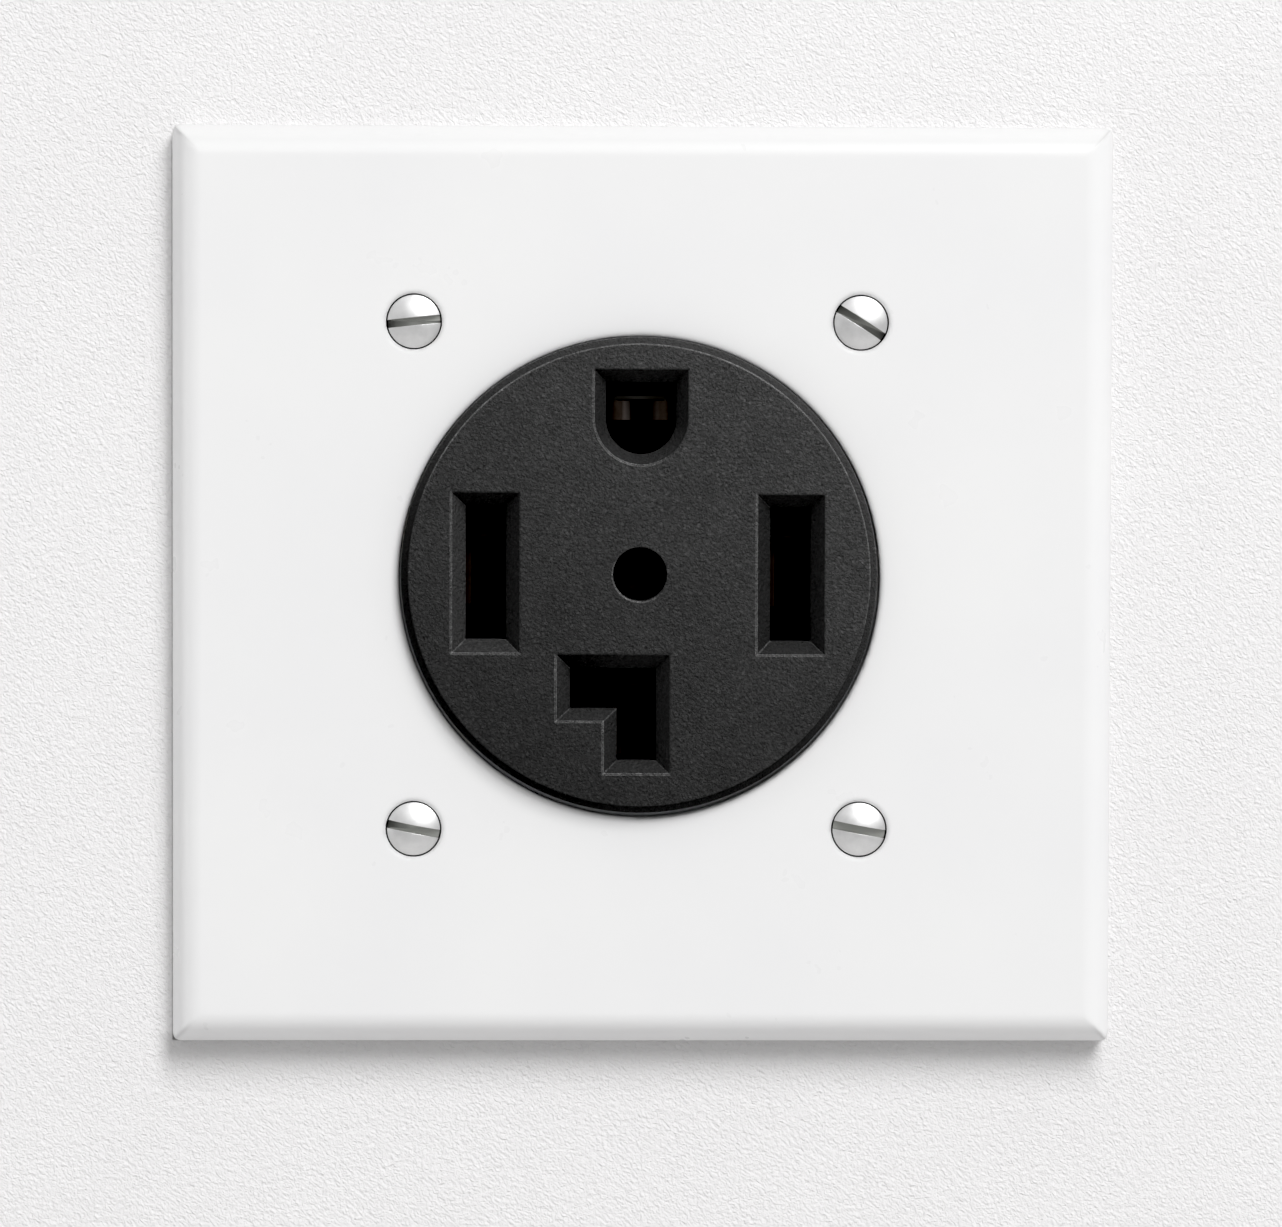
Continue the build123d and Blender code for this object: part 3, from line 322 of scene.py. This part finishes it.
def bright_screws():
    """Nickel-plated oval heads: bright, with faint turning rings, a rougher sawn slot darkened by painted shade, and
    painted shade round the rim.
    """
    k = Look("bright_screws", metallic=1.0)
    r = k.from_screw()
    rings = k.math("SINE", k.math("MULTIPLY_ADD", k.noise(0.9, 2.0, 0.5), 2.2, k.math("MULTIPLY", r, 2 * math.pi / (0.17 * MM))))
    cloud = k.noise(1.1, 3.0, 0.6)
    fine = k.noise(0.12, 3.0, 0.6)
    normal = k.soft_edges(0.10)
    edge = k.edges(0.03, 0.3)
    # depth below the dome: the slot's walls and floor lie deeper than the head's surface
    x, y, z = k.axes()
    dome = k.math("MULTIPLY_ADD", k.math("MULTIPLY", r, r), 1.0 / (2 * 5.88 * MM), -6.32 * MM)
    sunk = k.remap(k.math("SUBTRACT", y, dome), 0.10 * MM, 0.30 * MM, 0.0, 1.0)
    front = k.remap(y, -4.4 * MM, -4.2 * MM, 1.0, 0.0)
    tone = k.blend(k.remap(cloud, 0.3, 0.7, 0.0, 1.0), (0.75, 0.75, 0.75), (0.82, 0.82, 0.82))
    # painted shade darkens the slot's walls and floor in the head; its roughness also rises there
    tone = k.blend(k.math("MULTIPLY", sunk, front), tone, (0.40, 0.405, 0.385))
    tone = k.blend(k.math("MULTIPLY", edge, 0.25), tone, (0.90, 0.90, 0.895))
    # painted shade: the head's edge, down in the gap below the plate's face, is black
    below = k.remap(y, -5.29 * MM, -5.22 * MM, 0.0, 1.0)
    rim = k.math("MULTIPLY", k.remap(r, 3.20 * MM, 3.26 * MM, 0.0, 1.0), below)
    tone = k.blend(rim, tone, (0.02, 0.02, 0.02))
    rough = k.math("ADD", k.remap(cloud, 0.3, 0.7, 0.41, 0.47), k.math("MULTIPLY", sunk, 0.05))
    n = k.bump(rings, 0.0022, 0.5, normal)
    n = k.bump(fine, 0.004, 0.6, n)
    return k.finish(tone, rough, n)


def copper_alloy():
    """Rolled brass strip: warm and brushed at the lips, with painted shade darkening it the deeper it lies."""
    k = Look("copper_alloy", metallic=0.6, Specular_IOR_Level=0.12)
    brushed = k.noise(0.16, 3.0, 0.6, 0.0, k.stretch((1.0, 0.06, 1.0)))
    tarnish = k.noise(2.6, 4.0, 0.65, 1.0)
    normal = k.soft_edges(0.12)
    edge = k.edges(0.03, 0.3)
    x, y, z = k.axes()
    # painted shade: darker the deeper the strip lies inside the body
    deep = k.remap(y, -1.4 * MM, 1.3 * MM, 0.0, 1.0, smooth=True)
    # painted shade: the neutral pair is darkened all over but for its lower end
    low = k.math("MULTIPLY", k.remap(z, -6 * MM, -7 * MM, 0.0, 1.0), k.remap(z, -22.5 * MM, -19.5 * MM, 0.0, 1.0))
    deep = k.math("MAXIMUM", deep, low)
    # and painted shade darkens the bends between the leaves
    bend = k.math("MULTIPLY", k.remap(z, 2.2 * MM, 3.2 * MM, 0.0, 1.0), k.remap(z, 18.9 * MM, 18.3 * MM, 0.0, 1.0))
    deep = k.math("MAXIMUM", deep, bend)
    tone = k.blend(k.remap(tarnish, 0.38, 0.68, 0.0, 1.0), (0.034, 0.026, 0.021), (0.020, 0.014, 0.011))
    tone = k.blend(k.math("MULTIPLY", edge, 0.20), tone, (0.10, 0.085, 0.070))
    # painted highlight: the ground contact's lip tips are lighter, most of all on the left
    off = k.math("ABSOLUTE", k.math("ADD", x, -0.2 * MM))
    tip = k.math("MULTIPLY", k.remap(off, 1.15 * MM, 1.45 * MM, 0.0, 1.0), k.remap(off, 2.35 * MM, 1.95 * MM, 0.0, 1.0))
    tip = k.math("MULTIPLY", k.math("MULTIPLY", tip, k.remap(z, 18 * MM, 19 * MM, 0.0, 1.0)), k.remap(x, -0.5 * MM, 0.8 * MM, 1.0, 0.35))
    tone = k.blend(tip, tone, (0.110, 0.094, 0.086))
    # the painted shade, near black, over the tone
    tone = k.blend(k.math("MULTIPLY", deep, 0.95), tone, (0.007, 0.004, 0.003))
    # the strip and rivet outside the body are browned, without the painted shade
    aged = k.blend(k.remap(tarnish, 0.38, 0.68, 0.0, 1.0), (0.175, 0.110, 0.066), (0.095, 0.060, 0.038))
    tone = k.blend(k.remap(z, 28.2 * MM, 28.8 * MM, 0.0, 1.0), tone, aged)
    rough = k.math("ADD", k.remap(tarnish, 0.3, 0.7, 0.26, 0.44), k.math("MULTIPLY", brushed, 0.08))
    n = k.bump(brushed, 0.006, 0.6, normal)
    return k.finish(tone, rough, n)


def spring_steel():
    """Blued spring steel: very dark, with straw and blue temper tints and fine drawn lines."""
    k = Look("spring_steel", metallic=1.0)
    drawn = k.noise(0.14, 3.0, 0.6, 0.0, k.stretch((0.08, 1.0, 1.0)))
    temper = k.noise(1.8, 3.0, 0.6, 0.8)
    normal = k.soft_edges(0.10)
    tone = k.blend(k.remap(temper, 0.35, 0.6, 0.0, 1.0), (0.016, 0.017, 0.021), (0.026, 0.023, 0.019))
    x, y, z = k.axes()
    tone = k.blend(k.math("MULTIPLY", k.edges(), 0.3), tone, (0.03, 0.03, 0.03))
    tone = k.blend(k.remap(z, 21.1 * MM, 21.3 * MM, 0.0, 0.8), tone, (0.060, 0.058, 0.052))
    rough = k.math("ADD", k.remap(temper, 0.3, 0.7, 0.30, 0.44), k.math("MULTIPLY", drawn, 0.1))
    n = k.bump(drawn, 0.005, 0.6, normal)
    return k.finish(tone, rough, n)


def black_oxide():
    """Black-oxide steel: dull, oily black with brownish patches and faintly worn slot edges."""
    k = Look("black_oxide", Specular_IOR_Level=0.10)
    patch = k.noise(1.4, 4.0, 0.62, 0.6)
    pits = k.noise(0.12, 3.0, 0.6)
    normal = k.soft_edges(0.08)
    tone = k.blend(k.remap(patch, 0.35, 0.65, 0.0, 1.0), (0.0045, 0.0045, 0.0050), (0.0085, 0.0070, 0.0060))
    tone = k.blend(k.math("MULTIPLY", k.edges(0.03, 0.3), 0.35), tone, (0.035, 0.034, 0.033))
    n = k.bump(pits, 0.008, 0.6, normal)
    return k.finish(tone, k.remap(patch, 0.3, 0.7, 0.45, 0.62), n)


def lug_metal():
    """Brass box lugs: sawn from extruded bar, cutter lines across, duller inside, bright corners."""
    k = Look("lug_metal", metallic=1.0)
    cutter = k.noise(0.20, 3.0, 0.55, 0.0, k.stretch((0.09, 1.0, 0.09)))
    tarnish = k.noise(3.2, 4.0, 0.62, 0.9)
    normal = k.soft_edges(0.19)
    edge = k.edges(0.03, 0.3)
    tone = k.blend(k.remap(tarnish, 0.38, 0.66, 0.0, 1.0), (0.78, 0.62, 0.33), (0.58, 0.42, 0.20))
    tone = k.blend(k.math("MULTIPLY", edge, 0.5), tone, (0.90, 0.78, 0.50))
    rough = k.math("ADD", k.remap(tarnish, 0.3, 0.7, 0.26, 0.42), k.math("MULTIPLY", cutter, 0.12))
    n = k.bump(cutter, 0.010, 0.6, normal)
    return k.finish(tone, rough, n)


def plated_steel(name, dark, light, worn):
    """Small plated machine screws: fine pitted plating that wears bright on the crests and slot edges."""
    k = Look(name, metallic=1.0)
    patch = k.noise(1.3, 4.0, 0.62, 0.6)
    pits = k.noise(0.11, 3.0, 0.6)
    normal = k.soft_edges(0.09)
    edge = k.edges(0.03, 0.3)
    wear = k.math("MULTIPLY", edge, k.remap(k.noise(0.7, 3.0, 0.6), 0.38, 0.6, 0.2, 0.9))
    tone = k.blend(k.remap(patch, 0.3, 0.7, 0.0, 1.0), dark, light)
    tone = k.blend(wear, tone, worn)
    rough = k.math("ADD", k.remap(patch, 0.3, 0.7, 0.26, 0.40), k.math("MULTIPLY", pits, 0.12))
    n = k.bump(pits, 0.006, 0.6, normal)
    return k.finish(tone, rough, n)


def fibre_washer():
    """Pressed vulcanised fibre: red-brown, matted fibres, fuzzy cut edge."""
    k = Look("fibre_washer", Specular_IOR_Level=0.3)
    felt = k.noise(0.22, 4.0, 0.7, 1.6)
    mat_ = k.noise(1.5, 3.0, 0.6)
    tone = k.blend(k.remap(felt, 0.32, 0.66, 0.0, 1.0), (0.33, 0.20, 0.12), (0.52, 0.36, 0.23))
    tone = k.blend(k.remap(mat_, 0.4, 0.7, 0.0, 0.5), tone, (0.26, 0.15, 0.09))
    n = k.bump(felt, 0.05, 0.6, k.soft_edges(0.10))
    return k.finish(tone, k.remap(felt, 0.3, 0.7, 0.65, 0.85), n)


finishes = {
    "plate_plastic": plate_plastic(),
    "black_face": black_face(),
    "black_body": black_body(),
    "zinc_steel": zinc_steel(),
    "bright_screws": bright_screws(),
    "copper_alloy": copper_alloy(),
    "black_oxide": black_oxide(),
    "spring_steel": spring_steel(),
    "lug_metal": lug_metal(),
    "terminal_steel": plated_steel("terminal_steel", (0.50, 0.50, 0.48), (0.66, 0.65, 0.61), (0.82, 0.82, 0.80)),
    "green_screw": plated_steel("green_screw", (0.035, 0.20, 0.07), (0.06, 0.34, 0.12), (0.62, 0.66, 0.58)),
    "fibre_washer": fibre_washer(),
}
slot_of = {p["node"]: p["material_slot"] for p in frame["record"]["subparts"]}
for name, o in nodes.items():
    o.data.materials.clear()
    o.data.materials.append(finishes[slot_of[name]])


# ---------------------------------------------------------------- threads
def thread(bm, centre, along, across, t0, t1, r_out, r_in, pitch, cone0, cone1, seg=30, per=10):
    """A closed screw-thread surface round the line through centre along `along`, from t0 to t1 (mm).
    cone0 and cone1 are the lengths over which its ends narrow."""
    w, u = Vector(along), Vector(across)
    v = w.cross(u)
    c = Vector(centre)
    n = max(4, round((t1 - t0) / pitch * per))
    core = r_in * 0.84
    rings = []
    for i in range(n + 1):
        t = t0 + (t1 - t0) * i / n
        room = min(1.0, (t - t0) / cone0 if cone0 else 1.0, (t1 - t) / cone1 if cone1 else 1.0)
        top = core + (r_out - core) * room
        ring = []
        for j in range(seg):
            turn = ((t - t0) / pitch - j / seg) % 1.0
            rise = min(1.0, max(0.0, (1.0 - abs(2.0 * turn - 1.0) - 0.16) / 0.70))
            r = min(r_in + (r_out - r_in) * rise, top)
            a = 2.0 * math.pi * j / seg
            ring.append(bm.verts.new((c + w * t + (u * math.cos(a) + v * math.sin(a)) * r) * MM))
        rings.append(ring)
    for a, b in zip(rings, rings[1:]):
        for j in range(seg):
            k = (j + 1) % seg
            bm.faces.new((a[j], b[j], b[k], a[k]))
    for ring, t in ((rings[0], t0), (rings[-1], t1)):
        mid = bm.verts.new((c + w * t) * MM)
        for j in range(seg):
            k = (j + 1) % seg
            bm.faces.new((ring[j], ring[k], mid) if ring is rings[0] else (ring[k], ring[j], mid))


def as_piece(name, bm, slot, stands_for):
    bmesh.ops.recalc_face_normals(bm, faces=bm.faces[:])
    me = bpy.data.meshes.new(name)
    bm.to_mesh(me)
    bm.free()
    me.polygons.foreach_set("use_smooth", [True] * len(me.polygons))
    me.set_sharp_from_angle(angle=math.radians(32))
    me.materials.append(finishes[slot])
    o = bpy.data.objects.new(name, me)
    scene.collection.objects.link(o)
    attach(o, "root")
    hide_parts(stands_for)
    return o


def screws_with_threads(node, shank_r, cut_y, y0, y1, r_in, pitch, cone0, cone1):
    """The node's heads as they are, with real threads in place of the plain shanks behind cut_y."""
    src = nodes[node]
    bm = bmesh.new()
    bm.from_mesh(src.data)
    bmesh.ops.remove_doubles(bm, verts=bm.verts[:], dist=2e-7)
    lo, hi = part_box(node)
    cx, cz = (lo.x + hi.x) / 2, (lo.z + hi.z) / 2
    far = [v.co for v in bm.verts if v.co.y > hi.y - 0.1 * MM]
    centres = []
    for sx in (-1, 1):
        for sz in (-1, 1):
            own = [p for p in far if (p.x - cx) * sx > 0 and (p.z - cz) * sz > 0]
            xs, zs = [p.x for p in own], [p.z for p in own]
            centres.append(((min(xs) + max(xs)) / 2, (min(zs) + max(zs)) / 2))

    def shank(f):
        if min(v.co.y for v in f.verts) < (cut_y - 0.02) * MM:
            return False
        for v in f.verts:
            if min(math.hypot(v.co.x - x, v.co.z - z) for x, z in centres) > (shank_r + 0.03) * MM:
                return False
        return True

    bmesh.ops.delete(bm, geom=[f for f in bm.faces if shank(f)], context="FACES")
    bmesh.ops.holes_fill(bm, edges=[e for e in bm.edges if e.is_boundary], sides=0)
    dome_r, dome_y = 5.889, -6.32 + 5.889
    for x, z in centres:
        thread(bm, (x / MM, 0, z / MM), (0, 1, 0), (1, 0, 0), y0, y1, shank_r, r_in, pitch, cone0, cone1)
    o = as_piece(node + "_threaded", bm, slot_of[node], node)
    if node == "plate_screws":
        # the domes shade as the true sphere, not as their long thin facets
        me = o.data
        normals = [tuple(c.vector) for c in me.corner_normals]
        for face in me.polygons:
            own = None
            for x, z in centres:
                c = Vector((x, dome_y * MM, z))
                if all(abs((me.vertices[v].co - c).length - dome_r * MM) < 0.015 * MM for v in face.vertices):
                    own = c
            if own is not None and face.normal.y < -0.5:
                for loop in face.loop_indices:
                    normals[loop] = tuple((me.vertices[me.loops[loop].vertex_index].co - own).normalized())
        me.normals_split_custom_set(normals)
    return o


screws_with_threads("plate_screws", 1.72, -2.661, -3.1, 6.8, 1.27, 25.4 / 32, 0.9, 0.9)
screws_with_threads("box_screws", 1.75, 1.0, 0.6, 22.0, 1.29, 25.4 / 32, 0.9, 0.9)


# ---------------------------------------------------------------- camera
cam_at = Vector((-11.2524, -599.5474, 15.2389)) * MM
cam_to = Vector((0.3448, 0.0, -4.9699)) * MM
ahead = (cam_to - cam_at).normalized()
right = ahead.cross(Vector((0, 0, 1))).normalized()
up = right.cross(ahead)
roll = math.radians(0.15428)
cam_x = right * math.cos(roll) + up * math.sin(roll)
cam_y = up * math.cos(roll) - right * math.sin(roll)
cam_data = bpy.data.cameras.new("camera")
cam_data.sensor_fit = "HORIZONTAL"
cam_data.sensor_width = 36.0
cam_data.lens = 4823.685 / 1282 * 36.0
cam_data.clip_start, cam_data.clip_end = 0.02, 50.0
camera = bpy.data.objects.new("camera", cam_data)
turn = Matrix((cam_x, cam_y, -ahead)).transposed().to_4x4()
camera.matrix_world = Matrix.Translation(cam_at) @ turn
scene.collection.objects.link(camera)
scene.camera = camera

# ---------------------------------------------------------------- stage: wall and floor
def wall_material():
    """Pale painted plaster with a fine rolled grain. Its back isn't drawn, so that the outlet's back can be seen."""
    k = Look("stage_plaster", Specular_IOR_Level=0.15)
    ridges = k.noise(0.32, 2.0, 0.5, 0.7, k.slanted(-40, 0.66))
    lumps = k.noise(0.85, 1.0, 0.5, 0.5)
    patch = k.noise(26.0, 2.0, 0.5)
    height = k.math("MULTIPLY_ADD", lumps, 0.5, ridges)
    n = k.bump(height, 0.255, 1.0)
    tone = k.blend(k.remap(patch, 0.3, 0.7, 0.0, 1.0), (0.818, 0.809, 0.813), (0.834, 0.827, 0.830))
    # painted shade: a thin dark line along the plate's left and lower edges, the sides in shadow
    x, y, z = k.axes()
    left = k.math("MULTIPLY", k.remap(k.math("ABSOLUTE", k.math("ADD", x, 57.65 * MM)), 0.15 * MM, 0.34 * MM, 1.0, 0.0), k.math("MULTIPLY", k.remap(z, 54.6 * MM, 52.0 * MM, 0.0, 1.0), k.remap(z, -58.3 * MM, -58.1 * MM, 0.0, 1.0)))
    low = k.math("MULTIPLY", k.remap(k.math("ABSOLUTE", k.math("ADD", z, 58.0 * MM)), 0.15 * MM, 0.34 * MM, 1.0, 0.0), k.math("MULTIPLY", k.remap(x, 58.4 * MM, 57.4 * MM, 0.0, 1.0), k.remap(x, -57.95 * MM, -57.75 * MM, 0.0, 1.0)))
    tone = k.blend(k.math("MULTIPLY", k.math("MAXIMUM", left, low), 0.85), tone, (0.12, 0.115, 0.11))
    # painted shadow: the wall is a little darker just below the plate, deepening its cast shadow
    lee = k.math("MULTIPLY", k.remap(z, -65.4 * MM, -60.4 * MM, 0.0, 1.0), k.math("MULTIPLY", k.remap(x, 58.4 * MM, 56.8 * MM, 0.0, 1.0), k.remap(x, -60.0 * MM, -57.8 * MM, 0.0, 1.0)))
    lee = k.math("MULTIPLY", lee, k.remap(z, -57.0 * MM, -57.6 * MM, 0.0, 1.0))
    tone = k.blend(k.math("MULTIPLY", lee, 0.20), tone, (0.0, 0.0, 0.0))
    k.finish(tone, 0.8, n)
    geo = k.add("ShaderNodeNewGeometry")
    clear = k.add("ShaderNodeBsdfTransparent")
    mix = k.add("ShaderNodeMixShader")
    k.link(geo.outputs["Backfacing"], mix.inputs["Fac"])
    k.link(k.shader.outputs["BSDF"], mix.inputs[1])
    k.link(clear.outputs["BSDF"], mix.inputs[2])
    k.link(mix.outputs["Shader"], k.out.inputs["Surface"])
    return k.mat


def floor_material():
    k = Look("stage_floor", Specular_IOR_Level=0.2)
    tone = k.blend(k.remap(k.noise(60.0, 3.0, 0.5), 0.3, 0.7, 0.0, 1.0), (0.80, 0.795, 0.79), (0.83, 0.825, 0.82))
    return k.finish(tone, 0.7, k.bump(k.noise(3.0, 3.0, 0.6), 0.1, 0.4))


FLOOR_Z = -2.2
WALL_Y = 0.05 * MM
bm = bmesh.new()
# the opening follows the plate's outline, 0.04 mm inside it
outer, inner = [], []
for cx, cz, ox, oz, start in ((-56.55, -56.90, -4, FLOOR_Z, 180), (57.45, -56.90, 4, FLOOR_Z, 270), (57.45, 54.20, 4, 2.0, 0), (-56.55, 54.20, -4, 2.0, 90)):
    for j in range(6):
        a = math.radians(start + 18 * j)
        inner.append(((cx + 1.06 * math.cos(a)) * MM, (cz + 1.06 * math.sin(a)) * MM))
        away = 0.02 * (j if start in (180, 0) else 5 - j)
        outer.append((ox - math.copysign(away, ox), oz))
vo = [bm.verts.new((x, WALL_Y, z)) for x, z in outer]
vi = [bm.verts.new((x, WALL_Y, z)) for x, z in inner]
for i in range(24):
    j = (i + 1) % 24
    bm.faces.new((vo[i], vo[j], vi[j], vi[i]))
bm.normal_update()
for f in bm.faces:
    if f.normal.y > 0:
        f.normal_flip()
me = bpy.data.meshes.new("stage_wall")
bm.to_mesh(me)
bm.free()
me.materials.append(wall_material())
wall = bpy.data.objects.new("stage_wall", me)
scene.collection.objects.link(wall)

bm = bmesh.new()
bm.faces.new([bm.verts.new(p) for p in ((-6, -6, FLOOR_Z), (6, -6, FLOOR_Z), (6, 6, FLOOR_Z), (-6, 6, FLOOR_Z))])
me = bpy.data.meshes.new("stage_floor")
bm.to_mesh(me)
bm.free()
me.materials.append(floor_material())
floor = bpy.data.objects.new("stage_floor", me)
scene.collection.objects.link(floor)

# ---------------------------------------------------------------- light
def area(name, at, to, size, power, colour=(1, 1, 1)):
    d = bpy.data.lights.new(name, "AREA")
    d.shape = "DISK"
    d.size = size
    d.energy = power
    d.color = colour
    o = bpy.data.objects.new(name, d)
    o.location = at
    o.rotation_mode = "QUATERNION"
    o.rotation_quaternion = (Vector(at) - Vector(to)).to_track_quat("Z", "Y")
    o.visible_camera = False
    scene.collection.objects.link(o)
    return o


key_dir = Vector((0.36, -0.67, 0.65)).normalized()
area("key", tuple(key_dir * 2.4), (0, 0, 0), 1.05, 42.0)
area("fill_left", tuple(Vector((-1.0, -0.16, 0.0)).normalized() * 1.1), (0, 0, 0), 0.4, 0.8)
area("back", (-0.55, 0.95, 0.75), (0, 0.015, 0), 0.7, 5.5)
area("back_low", (0.9, 0.7, -0.1), (0, 0.015, 0), 0.6, 4.0)

world = bpy.data.worlds.new("studio")
world.use_nodes = True
scene.world = world
wt = world.node_tree
wt.nodes.clear()
w_out = wt.nodes.new("ShaderNodeOutputWorld")
w_soft = wt.nodes.new("ShaderNodeBackground")
w_dir = wt.nodes.new("ShaderNodeTexCoord")
w_tilt = wt.nodes.new("ShaderNodeVectorMath")
w_tilt.operation = "DOT_PRODUCT"
w_tilt.inputs[1].default_value = (0.05, 0.0, 0.80)
w_shade = wt.nodes.new("ShaderNodeMath")
w_shade.operation = "ADD"
w_shade.inputs[1].default_value = 1.0
wt.links.new(w_dir.outputs["Generated"], w_tilt.inputs[0])
wt.links.new(w_tilt.outputs["Value"], w_shade.inputs[0])
wt.links.new(w_shade.outputs[0], w_soft.inputs["Color"])
w_soft.inputs["Strength"].default_value = 0.505
w_plain = wt.nodes.new("ShaderNodeBackground")
w_plain.inputs["Color"].default_value = (0.80, 0.80, 0.80, 1)
w_path = wt.nodes.new("ShaderNodeLightPath")
w_mix = wt.nodes.new("ShaderNodeMixShader")
wt.links.new(w_path.outputs["Is Camera Ray"], w_mix.inputs["Fac"])
wt.links.new(w_soft.outputs["Background"], w_mix.inputs[1])
wt.links.new(w_plain.outputs["Background"], w_mix.inputs[2])
wt.links.new(w_mix.outputs["Shader"], w_out.inputs["Surface"])

scene.view_settings.view_transform = "Standard"
scene.view_settings.look = "None"
scene.view_settings.exposure = 0.0
scene.view_settings.gamma = 1.0
scene.view_settings.use_curve_mapping = True
scene.view_settings.curve_mapping.black_level = (0.007, 0.007, 0.007)
scene.view_settings.curve_mapping.update()
